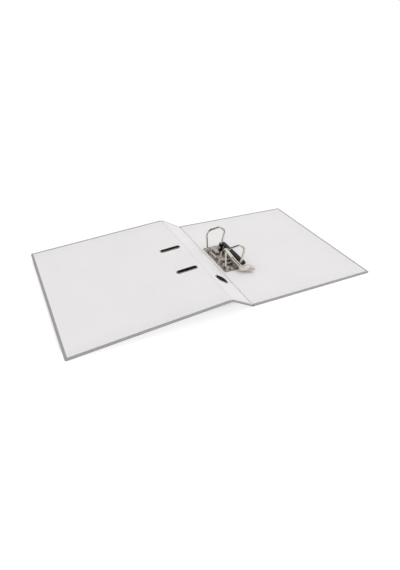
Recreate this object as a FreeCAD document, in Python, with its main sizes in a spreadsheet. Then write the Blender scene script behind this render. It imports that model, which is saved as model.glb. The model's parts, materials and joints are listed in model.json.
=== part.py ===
import FreeCAD, Part
import math
import os
import Sketcher

# A lever arch file lying open on its back cover, in millimetres.  The origin is the middle of the back
# cover's underside.  +X runs across the back cover to its free edge, +Y up the page and +Z off the table.
# The spine and the front cover are drawn lying flat, as if the file were spread out, and their Placements
# then lift them about the two creases.

Vector = FreeCAD.Vector
X_AXIS = Vector(1, 0, 0)
Y_AXIS = Vector(0, 1, 0)
Z_AXIS = Vector(0, 0, 1)

document = FreeCAD.newDocument("LeverArchFile")
sheet = document.addObject("Spreadsheet::Sheet", "Size")

SIZES = {
    # covers
    "file_height": 318,          # page direction, head to tail
    "cover_width": 284,          # crease to free edge
    "spine_width": 50,           # crease to crease
    "spine_rise": 29.4,          # degrees, spine above the table at rest
    "board_thick": 1.8,
    "wrap_thick": 0.25,          # printed outer paper
    "lining_thick": 0.25,        # inner paper
    "turn_in": 4.5,              # wrap left showing around the lining
    "corner_radius": 3,
    "crease_clear": 0.3,         # between two boards when a crease is folded square
    "glue_line": 0.01,           # all round each board
    # two slots in the front cover that lock over the arches
    "ring_spacing": 80,
    "slot_start": 9.4,           # from the front crease
    "slot_length": 41.6,
    "slot_width": 8.4,
    "eyelet_wall": 0.5,
    "eyelet_flange": 1.6,
    "eyelet_flange_thick": 0.4,
    # finger hole in the spine
    "finger_hole_radius": 12,
    "finger_hole_offset": 80,    # below mid-height
    "finger_ring_wall": 0.8,
    "finger_ring_flange": 2.2,
    "finger_ring_flange_thick": 0.5,
    # base plate; sizes along X are from the back crease
    "plate_start": 6,
    "plate_width": 51,
    "plate_past_ring": 9,        # end of the plate beyond the ring's middle
    "plate_thick": 0.9,
    "plate_corner": 4,
    "rib_width": 3,
    "rib_height": 0.9,
    "rib_inset": 1.6,
    "housing_start": 21,         # raised spring housing pressed from the plate
    "housing_width": 10,
    "housing_bottom": 15,
    "housing_length": 21,
    "housing_height": 3.4,
    "housing_corner": 1.5,
    "rivet_radius": 1.9,
    "rivet_head_radius": 3.4,
    "rivet_head_height": 1.1,
    "rivet_left": 14,            # from the plate's edge
    "rivet_right": 41,
    "rivet_left_past_ring": 3,   # along the page, from the ring's middle
    "rivet_right_past_ring": -13,
    "window_start": 8.4,         # window in the plate under the bow's spring
    "window_width": 12,
    "window_clear": 1.3,
    # posts and bow
    "post_foot": 44.9,
    "post_lean": 10,             # degrees
    "post_radius": 2.2,
    "post_top": 36.4,
    "post_collar_radius": 3.4,
    "post_collar_height": 1.2,
    "wire_radius": 2,
    "wire_gap": 0.2,             # bow's crossbar above the plate
    "bow_axis": 12.8,
    "arch_left": 7.2,            # corner points of the arch, before rounding
    "arch_left_top": 49.5,
    "arch_crown": 39.5,
    "arch_crown_top": 53.2,
    "arch_right": 50.4,
    "arch_right_top": 43.5,
    "arch_corner_radius": 13,
    "arch_crown_radius": 10,
    "arch_right_radius": 6,
    "foot_bend": 5,
    "tip_gap": 0.3,              # bow tip over post tip
    "tip_straight": 2.6,         # end of the wire that is in line with the post
    "tip_bend": 8,
    "crank_bend": 3.5,
    "crank_length": 25.8,
    "crank_width": 12,
    "running_clear": 0.06,
    "bearing_wall": 1.4,
    "bearing_width": 6,
    "bearing_corner": 2,
    "bearing_before_ring": 8,    # middle of the bearing, from the ring's middle
    "spring_wire": 0.4,          # radius
    "spring_clear": 0.1,
    "spring_turns": 8,
    "spring_pitch": 1,
    "spring_start": 1,           # from the end of the crank's bend
    "spring_leg": 6.2,
    "spring_tail": 4,
    # lever
    "lever_pivot": 41,
    "lever_pivot_offset": 12,    # above mid-height
    "lever_bend": 36.5,
    "lever_bend_before_ring": 5,  # along the page, from the lower ring's middle
    "lever_end_past_ring": 22,
    "lever_end": 55,
    "lever_bend_radius": 30,
    "lever_hook_radius": 9,
    "lever_half_width": 3.5,
    "lever_wall": 0.9,
    "lever_under": 3.5,
    "lever_over": 2.5,
    "lever_slot_width": 2.6,
    "lever_slot_before_bend": 15,  # along the page
    "lever_slot_past_bend": 17,
    "pin_radius": 1.25,
    "pin_head_radius": 2.1,
    "pin_head_thick": 0.6,
    "ear_thick": 1,
    "ear_clear": 0.75,
    "ear_depth": 9,
    "bracket_thick": 0.8,
    "ear_over_pin": 1.6,
    "roller_reach": 25,
    "roller_drop": 1.5,
    "roller_radius": 2.8,
    "roller_gap": 0.3,           # roller over the crank at rest
    "roller_pin_radius": 0.9,
    "roller_side_clear": 0.35,
    "tab_length": 21,
    "tab_width": 9.5,
    "tab_thick": 6.6,
    "tab_round": 1.8,
    "tab_turn": 22,              # degrees from the page direction
    # sliding bar
    "bar_start": 47.6,
    "bar_width": 8.6,
    "bar_past_ring": 5,
    "bar_thick": 3.6,
    "bar_rest": 5.2,             # underside of the bar over the plate
    "bar_boss_radius": 4.6,
    "bar_boss_lift": 0.2,        # boss above the plate
    "bar_hole_clear": 0.4,
    "bar_left_corner": 2,
    "bar_right_corner": 3,
}

for row, (name, number) in enumerate(SIZES.items(), start=1):
    sheet.set(f"A{row}", name)
    sheet.set(f"B{row}", str(number))
    sheet.setAlias(f"B{row}", name)
document.recompute()

# Lengths that follow from the sheet, as expressions that other objects are bound to.
PANEL = "(Size.board_thick + Size.lining_thick)"
GAP = f"({PANEL} + Size.wrap_thick + Size.crease_clear)"
CREASE = "(-Size.cover_width / 2)"
HALF = "(Size.file_height / 2)"
RING = "(Size.ring_spacing / 2)"
FRONT_DROP = "(asin(Size.spine_width * sin(Size.spine_rise) / Size.cover_width) / 1 deg)"
COVER_TOP = f"({PANEL} + Size.wrap_thick)"
PLATE_TOP = f"({COVER_TOP} + Size.plate_thick)"
BOW_HEIGHT = f"({PLATE_TOP} + Size.wire_gap + Size.wire_radius)"
CRANK_HIGH = "(Size.lever_pivot_offset - Size.roller_reach)"
SPRING_LOW = f"({CRANK_HIGH} + Size.crank_bend + Size.spring_start)"
SPRING_HIGH = f"({SPRING_LOW} + Size.spring_pitch * Size.spring_turns)"
PIVOT_HEIGHT = f"({BOW_HEIGHT} + Size.wire_radius + Size.roller_gap + Size.roller_radius + Size.roller_drop)"
PLATE_HALF = f"({RING} + Size.plate_past_ring)"
BEARING = f"({RING} - Size.bearing_before_ring)"
LEVER_BEND = f"(Size.lever_bend_before_ring - {RING})"
LEVER_END = f"(-{RING} - Size.lever_end_past_ring)"
LEVER_RUN = f"(Size.lever_pivot_offset - {LEVER_BEND})"


def value(expression):
    """The number that an expression over the sheet has now."""
    result = sheet.evalExpression(str(expression))
    return float(getattr(result, "Value", result))


def from_crease(expression):
    """A place along X that is measured from the back crease."""
    return f"({CREASE} + {expression})"


def bind(thing, **expressions):
    """Tie an object's properties to the sheet."""
    for name, expression in expressions.items():
        thing.setExpression(name, str(expression))


def place(thing, x="0", y="0", z="0", axis=Y_AXIS, angle="0"):
    """Give an object its Placement and tie it to the sheet."""
    base = Vector(value(x), value(y), value(z))
    thing.Placement = FreeCAD.Placement(base, FreeCAD.Rotation(axis, value(angle)))
    for letter, expression in zip("xyz", (x, y, z)):
        thing.setExpression(f"Placement.Base.{letter}", str(expression))
    if angle != "0":
        thing.setExpression("Placement.Rotation.Angle", str(angle))


# ---- where each cover panel is, as arguments of place() --------------------------------------------

BACK_PLACE = {"x": CREASE, "z": "Size.wrap_thick"}
SPINE_PLACE = {"x": CREASE, "z": "Size.wrap_thick", "axis": Y_AXIS, "angle": "Size.spine_rise"}
FRONT_PLACE = {
    "x": from_crease("(-Size.spine_width * cos(Size.spine_rise))"),
    "z": "Size.wrap_thick + Size.spine_width * sin(Size.spine_rise)",
    "axis": -Y_AXIS,
    "angle": FRONT_DROP,
}

RIDGE_PLACE = dict(SPINE_PLACE, x=FRONT_PLACE["x"], z=FRONT_PLACE["z"])


# ---- sketches -------------------------------------------------------------------------------------

def origin_plane(body, role):
    return next(feature for feature in body.Origin.OriginFeatures if feature.Role == role)


def new_body(label):
    body = document.addObject("PartDesign::Body", label)
    body.Label = label
    return body


def new_sketch(body, name, role="XY_Plane", offset="0"):
    sketch = body.newObject("Sketcher::SketchObject", name)
    sketch.AttachmentSupport = [(origin_plane(body, role), "")]
    sketch.MapMode = "FlatFace"
    sketch.AttachmentOffset = FreeCAD.Placement(Vector(0, 0, value(offset)), FreeCAD.Rotation())
    sketch.setExpression("AttachmentOffset.Base.z", str(offset))
    return sketch


def dimension(sketch, kind, arguments, expression):
    """Add one driving constraint and tie it to the sheet."""
    index = sketch.addConstraint(Sketcher.Constraint(kind, *arguments, value(expression)))
    name = f"size_{index}"
    sketch.renameConstraint(index, name)
    sketch.setExpression(f"Constraints.{name}", str(expression))


def pin_point(sketch, geometry, point, x, y):
    dimension(sketch, "DistanceX", (-1, 1, geometry, point), x)
    dimension(sketch, "DistanceY", (-1, 1, geometry, point), y)


def draw_circle(sketch, x, y, radius):
    centre = Vector(value(x), value(y), 0)
    circle = sketch.addGeometry(Part.Circle(centre, Z_AXIS, value(radius)))
    pin_point(sketch, circle, 3, x, y)
    dimension(sketch, "Radius", (circle,), radius)


def draw_outline(sketch, corners):
    """A closed outline along X and Y.  Each corner is (x, y, radius), and a radius of None is a sharp one."""
    spots = [Vector(value(x), value(y), 0) for x, y, _ in corners]
    count = len(corners)
    entries, exits, arcs = [], [], []
    for index, (x, y, radius) in enumerate(corners):
        back = (spots[index - 1] - spots[index]).normalize()
        ahead = (spots[(index + 1) % count] - spots[index]).normalize()
        if radius is None:
            entries.append(spots[index])
            exits.append(spots[index])
            arcs.append(None)
            continue
        size = value(radius)
        inward = back + ahead
        centre = spots[index] + inward * size
        start, end = spots[index] + back * size, spots[index] + ahead * size
        middle = centre - inward / inward.Length * size
        entries.append(start)
        exits.append(end)
        left_turn = ahead.cross(back).z > 0
        arc = sketch.addGeometry(Part.Arc(start, middle, end) if left_turn else Part.Arc(end, middle, start))
        arcs.append((arc, 1 if left_turn else 2, 2 if left_turn else 1))
        signs = ["+" if part > 0 else "-" for part in (inward.x, inward.y)]
        pin_point(sketch, arc, 3, f"{x} {signs[0]} {radius}", f"{y} {signs[1]} {radius}")
        dimension(sketch, "Radius", (arc,), radius)
    lines = [
        sketch.addGeometry(Part.LineSegment(exits[index], entries[(index + 1) % count]))
        for index in range(count)
    ]
    for index, (x, y, _) in enumerate(corners):
        before, after = lines[index - 1], lines[index]
        if arcs[index] is None:
            sketch.addConstraint(Sketcher.Constraint("Coincident", before, 2, after, 1))
            pin_point(sketch, after, 1, x, y)
        else:
            arc, first, last = arcs[index]
            sketch.addConstraint(Sketcher.Constraint("Tangent", before, 2, arc, first))
            sketch.addConstraint(Sketcher.Constraint("Tangent", arc, last, after, 1))


def draw_slot(sketch, x_low, x_high, y, radius):
    """A straight slot along X with round ends."""
    ends = (f"{x_low} + {radius}", f"{x_high} - {radius}")
    low, high = (Vector(value(end), value(y), 0) for end in ends)
    size = value(radius)
    up = Vector(0, size, 0)
    left = sketch.addGeometry(Part.Arc(low + up, low - Vector(size, 0, 0), low - up))
    right = sketch.addGeometry(Part.Arc(high - up, high + Vector(size, 0, 0), high + up))
    under = sketch.addGeometry(Part.LineSegment(low - up, high - up))
    over = sketch.addGeometry(Part.LineSegment(high + up, low + up))
    for arc, end in zip((left, right), ends):
        pin_point(sketch, arc, 3, end, y)
        dimension(sketch, "Radius", (arc,), radius)
    for line, first, second in ((under, left, right), (over, right, left)):
        for line_end, arc in ((1, first), (2, second)):
            tip = sketch.Geometry[line].StartPoint if line_end == 1 else sketch.Geometry[line].EndPoint
            arc_end = 1 if sketch.Geometry[arc].StartPoint.distanceToPoint(tip) < 1e-6 else 2
            sketch.addConstraint(Sketcher.Constraint("Tangent", line, line_end, arc, arc_end))


def pad(body, sketch, length, name="Pad"):
    feature = body.newObject("PartDesign::Pad", name)
    feature.Profile = sketch
    feature.setExpression("Length", str(length))
    return feature


def pocket_up(body, sketch, length, name="Pocket"):
    """Cut upwards from the sketch, and make sure that something was cut."""
    document.recompute()
    before = body.Shape.Volume
    feature = body.newObject("PartDesign::Pocket", name)
    feature.Profile = sketch
    feature.Reversed = True
    feature.setExpression("Length", str(length))
    document.recompute()
    if not body.Shape.Volume < before - 1e-6:
        raise RuntimeError(f"{body.Label}: {name} cuts nothing")
    return feature


# ---- Part helpers ---------------------------------------------------------------------------------

def rounded_path(points, radii):
    """Straight runs joined by tangent arcs.  There is one radius for each inner point."""
    edges = []
    start = points[0]
    for index, radius in enumerate(radii, start=1):
        corner = points[index]
        back = (points[index - 1] - corner).normalize()
        ahead = (points[index + 1] - corner).normalize()
        half_turn = (math.pi - back.getAngle(ahead)) / 2
        reach = radius * math.tan(half_turn)
        first, last = corner + back * reach, corner + ahead * reach
        bisector = (back + ahead).normalize()
        middle = corner + bisector * (radius / math.cos(half_turn) - radius)
        edges.append(Part.LineSegment(start, first).toShape())
        edges.append(Part.Arc(first, middle, last).toShape())
        start = last
    edges.append(Part.LineSegment(start, points[-1]).toShape())
    return Part.Wire(edges)


def swept_rod(path, radius):
    """A round rod along a path, checked against its section times its length."""
    start = path.Edges[0]
    direction = start.tangentAt(start.FirstParameter)
    ring = Part.Wire(Part.makeCircle(radius, start.valueAt(start.FirstParameter), direction))
    rod = path.makePipeShell([ring], True, False)
    expected = math.pi * radius ** 2 * path.Length
    if abs(abs(rod.Volume) - expected) > 0.01 * expected:
        raise RuntimeError("a rod's volume is not its section times its length")
    return rod


def add_shape(label, shape, **where):
    """A sub-part whose Shape is made directly."""
    feature = document.addObject("Part::Feature", label)
    feature.Label = label
    feature.Shape = shape
    place(feature, **where)
    return feature


def part_cylinder(name, radius, height, x="0", y="0", z="0", axis=Z_AXIS, angle="0"):
    cylinder = document.addObject("Part::Cylinder", name)
    bind(cylinder, Radius=radius, Height=height)
    place(cylinder, x, y, z, axis, angle)
    return cylinder


def fused(label, shapes):
    union = document.addObject("Part::MultiFuse", label)
    union.Label = label
    union.Shapes = shapes
    return union


kept = []


# ---- cover panels ---------------------------------------------------------------------------------

def panel_corners(side, start, end, half, radius):
    """Corners of a panel that runs from the crease to its free end; side is + or - along X."""
    return [
        (f"{side}({start})", f"-{half}", None),
        (f"{side}({end})", f"-{half}", radius),
        (f"{side}({end})", half, radius),
        (f"{side}({start})", half, None),
    ]


def free_panel_outline(sketch, side, end_inset, start, half_inset, radius):
    half = f"({HALF} - {half_inset})"
    draw_outline(sketch, panel_corners(side, start, f"Size.cover_width - {end_inset}", half, radius))


def crease_panel_outline(sketch, start, half_inset):
    """Outline of a spine piece, which has a crease at both ends."""
    half = f"({HALF} - {half_inset})"
    draw_outline(sketch, panel_corners("-", start, f"Size.spine_width - {start}", half, None))


def rivet_spots():
    """Centres of the four rivets that hold the base plate, from the back crease and mid-height."""
    return [
        (f"(Size.plate_start + Size.rivet_{side})", f"({sign}({RING} + Size.rivet_{side}_past_ring))")
        for side in ("left", "right") for sign in ("-", "+")
    ]


def cut_rivet_holes(body, radius, bottom, depth):
    sketch = new_sketch(body, f"{body.Label}_rivet_sketch", offset=bottom)
    for x, y in rivet_spots():
        draw_circle(sketch, x, y, radius)
    pocket_up(body, sketch, depth, f"{body.Label}_rivet_holes")


def cut_slots(body, bottom, depth):
    """Both arch slots in a front cover piece."""
    sketch = new_sketch(body, f"{body.Label}_slot_sketch", offset=bottom)
    for sign in ("-", "+"):
        draw_slot(sketch, "(-Size.slot_start - Size.slot_length)", "(-Size.slot_start)", f"({sign}{RING})",
                  "(Size.slot_width / 2)")
    pocket_up(body, sketch, depth, f"{body.Label}_slots")


def cut_finger_hole(body, bottom, depth):
    sketch = new_sketch(body, f"{body.Label}_finger_sketch", offset=bottom)
    draw_circle(sketch, "-Size.spine_width / 2", "-Size.finger_hole_offset", "Size.finger_hole_radius")
    pocket_up(body, sketch, depth, f"{body.Label}_finger_hole")


def finish_panel(body, where):
    place(body, **where)
    kept.append(body)


def make_layer(label, outline, bottom, thickness):
    """One sheet or board of a panel; outline is a function that draws it on a sketch."""
    body = new_body(label)
    sketch = new_sketch(body, f"{label}_outline", offset=bottom)
    outline(sketch)
    pad(body, sketch, thickness, f"{label}_pad")
    return body


def hollow_wrap(body, space_outline, lining_outline):
    """Open a solid wrap for its board and, above that, for the lining."""
    space = new_sketch(body, f"{body.Label}_board_space", offset="0")
    space_outline(space)
    pocket_up(body, space, "Size.board_thick", f"{body.Label}_board_pocket")
    window = new_sketch(body, f"{body.Label}_lining_space", offset="Size.board_thick")
    lining_outline(window)
    pocket_up(body, window, "Size.lining_thick", f"{body.Label}_lining_pocket")


WRAP_BOTTOM = "-Size.wrap_thick"
BOARD_INSET = "(Size.wrap_thick + Size.glue_line)"
BOARD_HEIGHT = "(Size.board_thick - 2 * Size.glue_line)"
SPACE_RADIUS = "(Size.corner_radius - Size.wrap_thick)"
BOARD_RADIUS = "(Size.corner_radius - Size.wrap_thick - Size.glue_line)"


def cover_outlines(side):
    """Outlines of a cover's wrap, the space in it for the board, the board and the lining."""
    def wrap(sketch):
        free_panel_outline(sketch, side, "0", GAP, "0", "Size.corner_radius")

    def space(sketch):
        free_panel_outline(sketch, side, "Size.wrap_thick", GAP, "Size.wrap_thick", SPACE_RADIUS)

    def board(sketch):
        free_panel_outline(sketch, side, BOARD_INSET, GAP, BOARD_INSET, BOARD_RADIUS)

    def lining(sketch):
        free_panel_outline(sketch, side, "Size.turn_in", GAP, "Size.turn_in", None)

    return wrap, space, board, lining


def make_cover(prefix, side, where, cut_openings):
    """The wrap, board and lining of one cover."""
    wrap_outline, space_outline, board_outline, lining_outline = cover_outlines(side)
    wrap = make_layer(f"{prefix}_wrap", wrap_outline, WRAP_BOTTOM, COVER_TOP)
    hollow_wrap(wrap, space_outline, lining_outline)
    board = make_layer(f"{prefix}_board", board_outline, "Size.glue_line", BOARD_HEIGHT)
    lining = make_layer(f"{prefix}_lining", lining_outline, "Size.board_thick", "Size.lining_thick")
    cut_openings(wrap, board, lining)
    for body in (wrap, board, lining):
        finish_panel(body, where)


def open_back(wrap, board, lining):
    cut_rivet_holes(wrap, "Size.rivet_head_radius", WRAP_BOTTOM, "Size.wrap_thick")
    cut_rivet_holes(board, "Size.rivet_radius", "0", "Size.board_thick")
    cut_rivet_holes(lining, "Size.rivet_radius", "Size.board_thick", "Size.lining_thick")


def open_front(wrap, board, lining):
    cut_slots(wrap, WRAP_BOTTOM, "Size.wrap_thick")
    cut_slots(board, "0", "Size.board_thick")
    cut_slots(lining, "Size.board_thick", "Size.lining_thick")


def make_spine():
    def wrap_outline(sketch):
        crease_panel_outline(sketch, GAP, "0")

    def space_outline(sketch):
        crease_panel_outline(sketch, GAP, "Size.wrap_thick")

    def board_outline(sketch):
        crease_panel_outline(sketch, GAP, BOARD_INSET)

    def lining_outline(sketch):
        crease_panel_outline(sketch, GAP, "Size.turn_in")

    wrap = make_layer("spine_wrap", wrap_outline, WRAP_BOTTOM, COVER_TOP)
    hollow_wrap(wrap, space_outline, lining_outline)
    board = make_layer("spine_board", board_outline, "Size.glue_line", BOARD_HEIGHT)
    lining = make_layer("spine_lining", lining_outline, "Size.board_thick", "Size.lining_thick")
    cut_finger_hole(wrap, WRAP_BOTTOM, "Size.wrap_thick")
    cut_finger_hole(board, "0", "Size.board_thick")
    cut_finger_hole(lining, "Size.board_thick", "Size.lining_thick")
    for body in (wrap, board, lining):
        finish_panel(body, SPINE_PLACE)


def make_crease(label, turn, where):
    """The wrap and lining glued together across a crease, bent by `turn` degrees at rest."""
    gap, below, above = value(GAP), value("Size.wrap_thick"), value("Size.lining_thick")
    half = value(HALF)
    bend = math.radians(value(turn)) / 2
    stretch = math.tan(bend)
    section = [
        Vector(gap, 0, -below), Vector(-below * stretch, 0, -below),
        Vector(above * stretch, 0, above), Vector(gap, 0, above),
    ]
    flap = Part.Face(Part.makePolygon(section + section[:1])).extrude(Vector(0, 2 * half, 0))
    flap.translate(Vector(0, -half, 0))
    mirrored = flap.mirror(Vector(0, 0, 0), X_AXIS)
    mirrored.rotate(Vector(0, 0, 0), Y_AXIS, value(turn))
    kept.append(add_shape(label, flap.fuse(mirrored).removeSplitter(), **where))


def lever_path(points_after_pivot, radii):
    """The lever's centre line in its own frame, whose origin is the middle of its pivot pin."""
    pivot = Vector(value("Size.lever_pivot"), value("Size.lever_pivot_offset"), 0)
    points = [pivot] + [Vector(value(x), value(y), 0) for x, y in points_after_pivot]
    return rounded_path([point - pivot for point in points], radii)


# ---- eyelets --------------------------------------------------------------------------------------

def slot_solid(grow, bottom, height, sign):
    """A straight slot-shaped block in the front cover's frame."""
    radius = value("Size.slot_width") / 2 + grow
    low = -value("Size.slot_start") - value("Size.slot_length") - grow + radius
    high = -value("Size.slot_start") + grow - radius
    y = sign * value(RING)
    block = Part.makeBox(high - low, 2 * radius, height, Vector(low, y - radius, bottom))
    for x in (low, high):
        block = block.fuse(Part.makeCylinder(radius, height, Vector(x, y, bottom)))
    return block.removeSplitter()


def make_slot_eyelets():
    """One pressed metal eyelet for each slot: a wall through the cover and a flange on each face."""
    bottom, top = -value("Size.wrap_thick"), value(PANEL)
    flange, thick = value("Size.eyelet_flange"), value("Size.eyelet_flange_thick")
    eyelets = []
    for sign in (-1, 1):
        wall = slot_solid(0, bottom, top - bottom, sign)
        inner_flange = slot_solid(flange, top, thick, sign)
        bore = slot_solid(-value("Size.eyelet_wall"), bottom, top - bottom + thick, sign)
        eyelets.append(wall.fuse(inner_flange).cut(bore).removeSplitter())
    kept.append(add_shape("slot_eyelets", Part.makeCompound(eyelets), **FRONT_PLACE))


def make_finger_ring():
    """The metal ring that lines the finger hole, turned about the hole's own axis."""
    body = new_body("finger_ring")
    sketch = new_sketch(body, "finger_ring_section", "XZ_Plane")
    inner = "(Size.finger_hole_radius - Size.finger_ring_wall)"
    wall = "Size.finger_hole_radius"
    rim = "(Size.finger_hole_radius + Size.finger_ring_flange)"
    low = "-(Size.wrap_thick + Size.finger_ring_flange_thick)"
    high = f"({PANEL} + Size.finger_ring_flange_thick)"
    draw_outline(sketch, [
        (inner, low, None), (rim, low, None), (rim, WRAP_BOTTOM, None), (wall, WRAP_BOTTOM, None),
        (wall, PANEL, None), (rim, PANEL, None), (rim, high, None), (inner, high, None),
    ])
    ring = body.newObject("PartDesign::Revolution", "finger_ring_turned")
    ring.Profile = sketch
    ring.ReferenceAxis = (sketch, ["V_Axis"])
    ring.Angle = 360
    where = dict(SPINE_PLACE)
    middle = "(-Size.spine_width / 2)"
    where["x"] = from_crease(f"{middle} * cos(Size.spine_rise)")
    where["z"] = f"Size.wrap_thick - {middle} * sin(Size.spine_rise)"
    where["y"] = "-Size.finger_hole_offset"
    finish_panel(body, where)


# ---- mechanism ------------------------------------------------------------------------------------

MECHANISM_PLACE = {"x": CREASE}


def make_base_plate():
    """The pressed plate: flat sheet, two stiffening ribs, spring housing and two bearings for the bow."""
    body = new_body("base_plate")
    start, end = "Size.plate_start", "(Size.plate_start + Size.plate_width)"
    half = PLATE_HALF
    corner = "Size.plate_corner"
    sheet_sketch = new_sketch(body, "plate_outline", offset=COVER_TOP)
    draw_outline(sheet_sketch, [
        (start, f"-{half}", corner), (end, f"-{half}", corner), (end, half, corner), (start, half, corner),
    ])
    pad(body, sheet_sketch, "Size.plate_thick", "plate_sheet")

    ribs = new_sketch(body, "plate_ribs_outline", offset=PLATE_TOP)
    reach = f"({half} - {corner} - 2 * Size.rib_width)"
    for low in (f"({start} + Size.rib_inset)", f"({end} - Size.rib_inset - Size.rib_width)"):
        high = f"({low} + Size.rib_width)"
        draw_outline(ribs, [
            (low, f"-{reach}", None), (high, f"-{reach}", None), (high, reach, None), (low, reach, None),
        ])
    pad(body, ribs, "Size.rib_height", "plate_ribs")

    housing = new_sketch(body, "housing_outline", offset=PLATE_TOP)
    left, right = "Size.housing_start", "(Size.housing_start + Size.housing_width)"
    low, high = "Size.housing_bottom", "(Size.housing_bottom + Size.housing_length)"
    bend = "Size.housing_corner"
    draw_outline(housing, [(left, low, bend), (right, low, bend), (right, high, bend), (left, high, bend)])
    pad(body, housing, "Size.housing_height", "spring_housing")

    around = "(Size.wire_radius + Size.bearing_wall)"
    left, right = f"(Size.bow_axis - {around})", f"(Size.bow_axis + {around})"
    top = f"({BOW_HEIGHT} + {around})"
    for name, sign in (("low", "-"), ("high", "+")):
        block = new_sketch(body, f"bearing_outline_{name}", "XZ_Plane",
                           f"{sign}{BEARING} - Size.bearing_width / 2")
        draw_outline(block, [
            (left, PLATE_TOP, None), (right, PLATE_TOP, None),
            (right, top, "Size.bearing_corner"), (left, top, "Size.bearing_corner"),
        ])
        pad(body, block, "Size.bearing_width", f"bearing_{name}")
    bore = new_sketch(body, "bearing_bore_outline", "XZ_Plane", f"-{half}")
    draw_circle(bore, "Size.bow_axis", BOW_HEIGHT, "(Size.wire_radius + Size.running_clear)")
    pocket_up(body, bore, f"2 * {half}", "bearing_bore")
    window = new_sketch(body, "spring_window_outline", offset=COVER_TOP)
    low = f"({CRANK_HIGH} - Size.wire_radius - Size.window_clear)"
    high = f"({SPRING_HIGH} + Size.window_clear)"
    left, right = "Size.window_start", "(Size.window_start + Size.window_width)"
    draw_outline(window, [(left, low, None), (right, low, None), (right, high, None), (left, high, None)])
    pocket_up(body, window, "Size.plate_thick + Size.rib_height", "spring_window")
    cut_rivet_holes(body, "Size.rivet_radius", COVER_TOP, "Size.plate_thick")
    place(body, **MECHANISM_PLACE)
    kept.append(body)


def make_rivets():
    """Four flush rivets through the back cover and the plate, in one node."""
    pieces = []
    for number, (x, y) in enumerate(rivet_spots(), start=1):
        spot = from_crease(x)
        pieces.append(part_cylinder(
            f"rivet_foot_{number}", "Size.rivet_head_radius", "Size.wrap_thick", spot, y, "0"))
        pieces.append(part_cylinder(
            f"rivet_shank_{number}", "Size.rivet_radius", f"{PLATE_TOP}", spot, y, "0"))
        head = document.addObject("Part::Cone", f"rivet_head_{number}")
        bind(head, Radius1="Size.rivet_head_radius", Radius2="Size.rivet_head_radius / 2",
             Height="Size.rivet_head_height")
        place(head, spot, y, PLATE_TOP)
        pieces.append(head)
    kept.append(fused("plate_rivets", pieces))


def post_place(sign):
    return {"x": from_crease("Size.post_foot"), "y": f"{sign}{RING}", "z": PLATE_TOP,
            "axis": Y_AXIS, "angle": "Size.post_lean"}


def make_post(label, sign):
    """One leaning post, a collar and a stem, cut off level where it stands on the plate."""
    body = new_body(f"{label}_blank")
    sketch = new_sketch(body, f"{label}_section", "XZ_Plane")
    top = f"((Size.post_top - {PLATE_TOP}) / cos(Size.post_lean))"
    collar, stem = "Size.post_collar_radius", "Size.post_radius"
    sunk = f"(-{collar})"
    draw_outline(sketch, [
        ("0", sunk, None), (collar, sunk, None), (collar, "Size.post_collar_height", None),
        (stem, "Size.post_collar_height", None), (stem, top, None), ("0", top, None),
    ])
    turned = body.newObject("PartDesign::Revolution", f"{label}_turned")
    turned.Profile = sketch
    turned.ReferenceAxis = (sketch, ["V_Axis"])
    turned.Angle = 360
    place(body, **post_place(sign))
    below = part_cylinder(f"{label}_ground", f"3 * {collar}", f"3 * {collar}",
                          from_crease("Size.post_foot"), f"{sign}{RING}", f"{PLATE_TOP} - 3 * {collar}")
    trimmed = document.addObject("Part::Cut", f"{label}_trimmed")
    trimmed.Base = body
    trimmed.Tool = below
    trimmed.Label = label
    kept.append(trimmed)


def make_bow():
    """One bent wire: both arches, the crossbar that turns in the bearings and the crank under the roller."""
    axis_x, height, ring = value("Size.bow_axis"), value(BOW_HEIGHT), value(RING)
    lean = math.tan(math.radians(value("Size.post_lean")))
    tip_z = value("Size.post_top") + value("Size.tip_gap")
    tip_x = value("Size.post_foot") + (tip_z - value(PLATE_TOP)) * lean
    straight = value("Size.tip_straight")
    crank_x = axis_x + value("Size.crank_length")
    crank_high = value(CRANK_HIGH)
    crank_low = crank_high - value("Size.crank_width")

    def arch(y):
        return [
            Vector(tip_x, y, tip_z),
            Vector(tip_x + straight * lean, y, tip_z + straight),
            Vector(value("Size.arch_right"), y, value("Size.arch_right_top")),
            Vector(value("Size.arch_crown"), y, value("Size.arch_crown_top")),
            Vector(value("Size.arch_left"), y, value("Size.arch_left_top")),
            Vector(axis_x, y, height),
        ]

    crank = [
        Vector(axis_x, crank_low, height), Vector(crank_x, crank_low, height),
        Vector(crank_x, crank_high, height), Vector(axis_x, crank_high, height),
    ]
    arch_radii = [value("Size.tip_bend"), value("Size.arch_right_radius"), value("Size.arch_crown_radius"),
                  value("Size.arch_corner_radius"), value("Size.foot_bend")]
    radii = arch_radii + [value("Size.crank_bend")] * len(crank) + arch_radii[::-1]
    path = rounded_path(arch(-ring) + crank + arch(ring)[::-1], radii)
    kept.append(add_shape("bow", swept_rod(path, value("Size.wire_radius")), **MECHANISM_PLACE))


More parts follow.
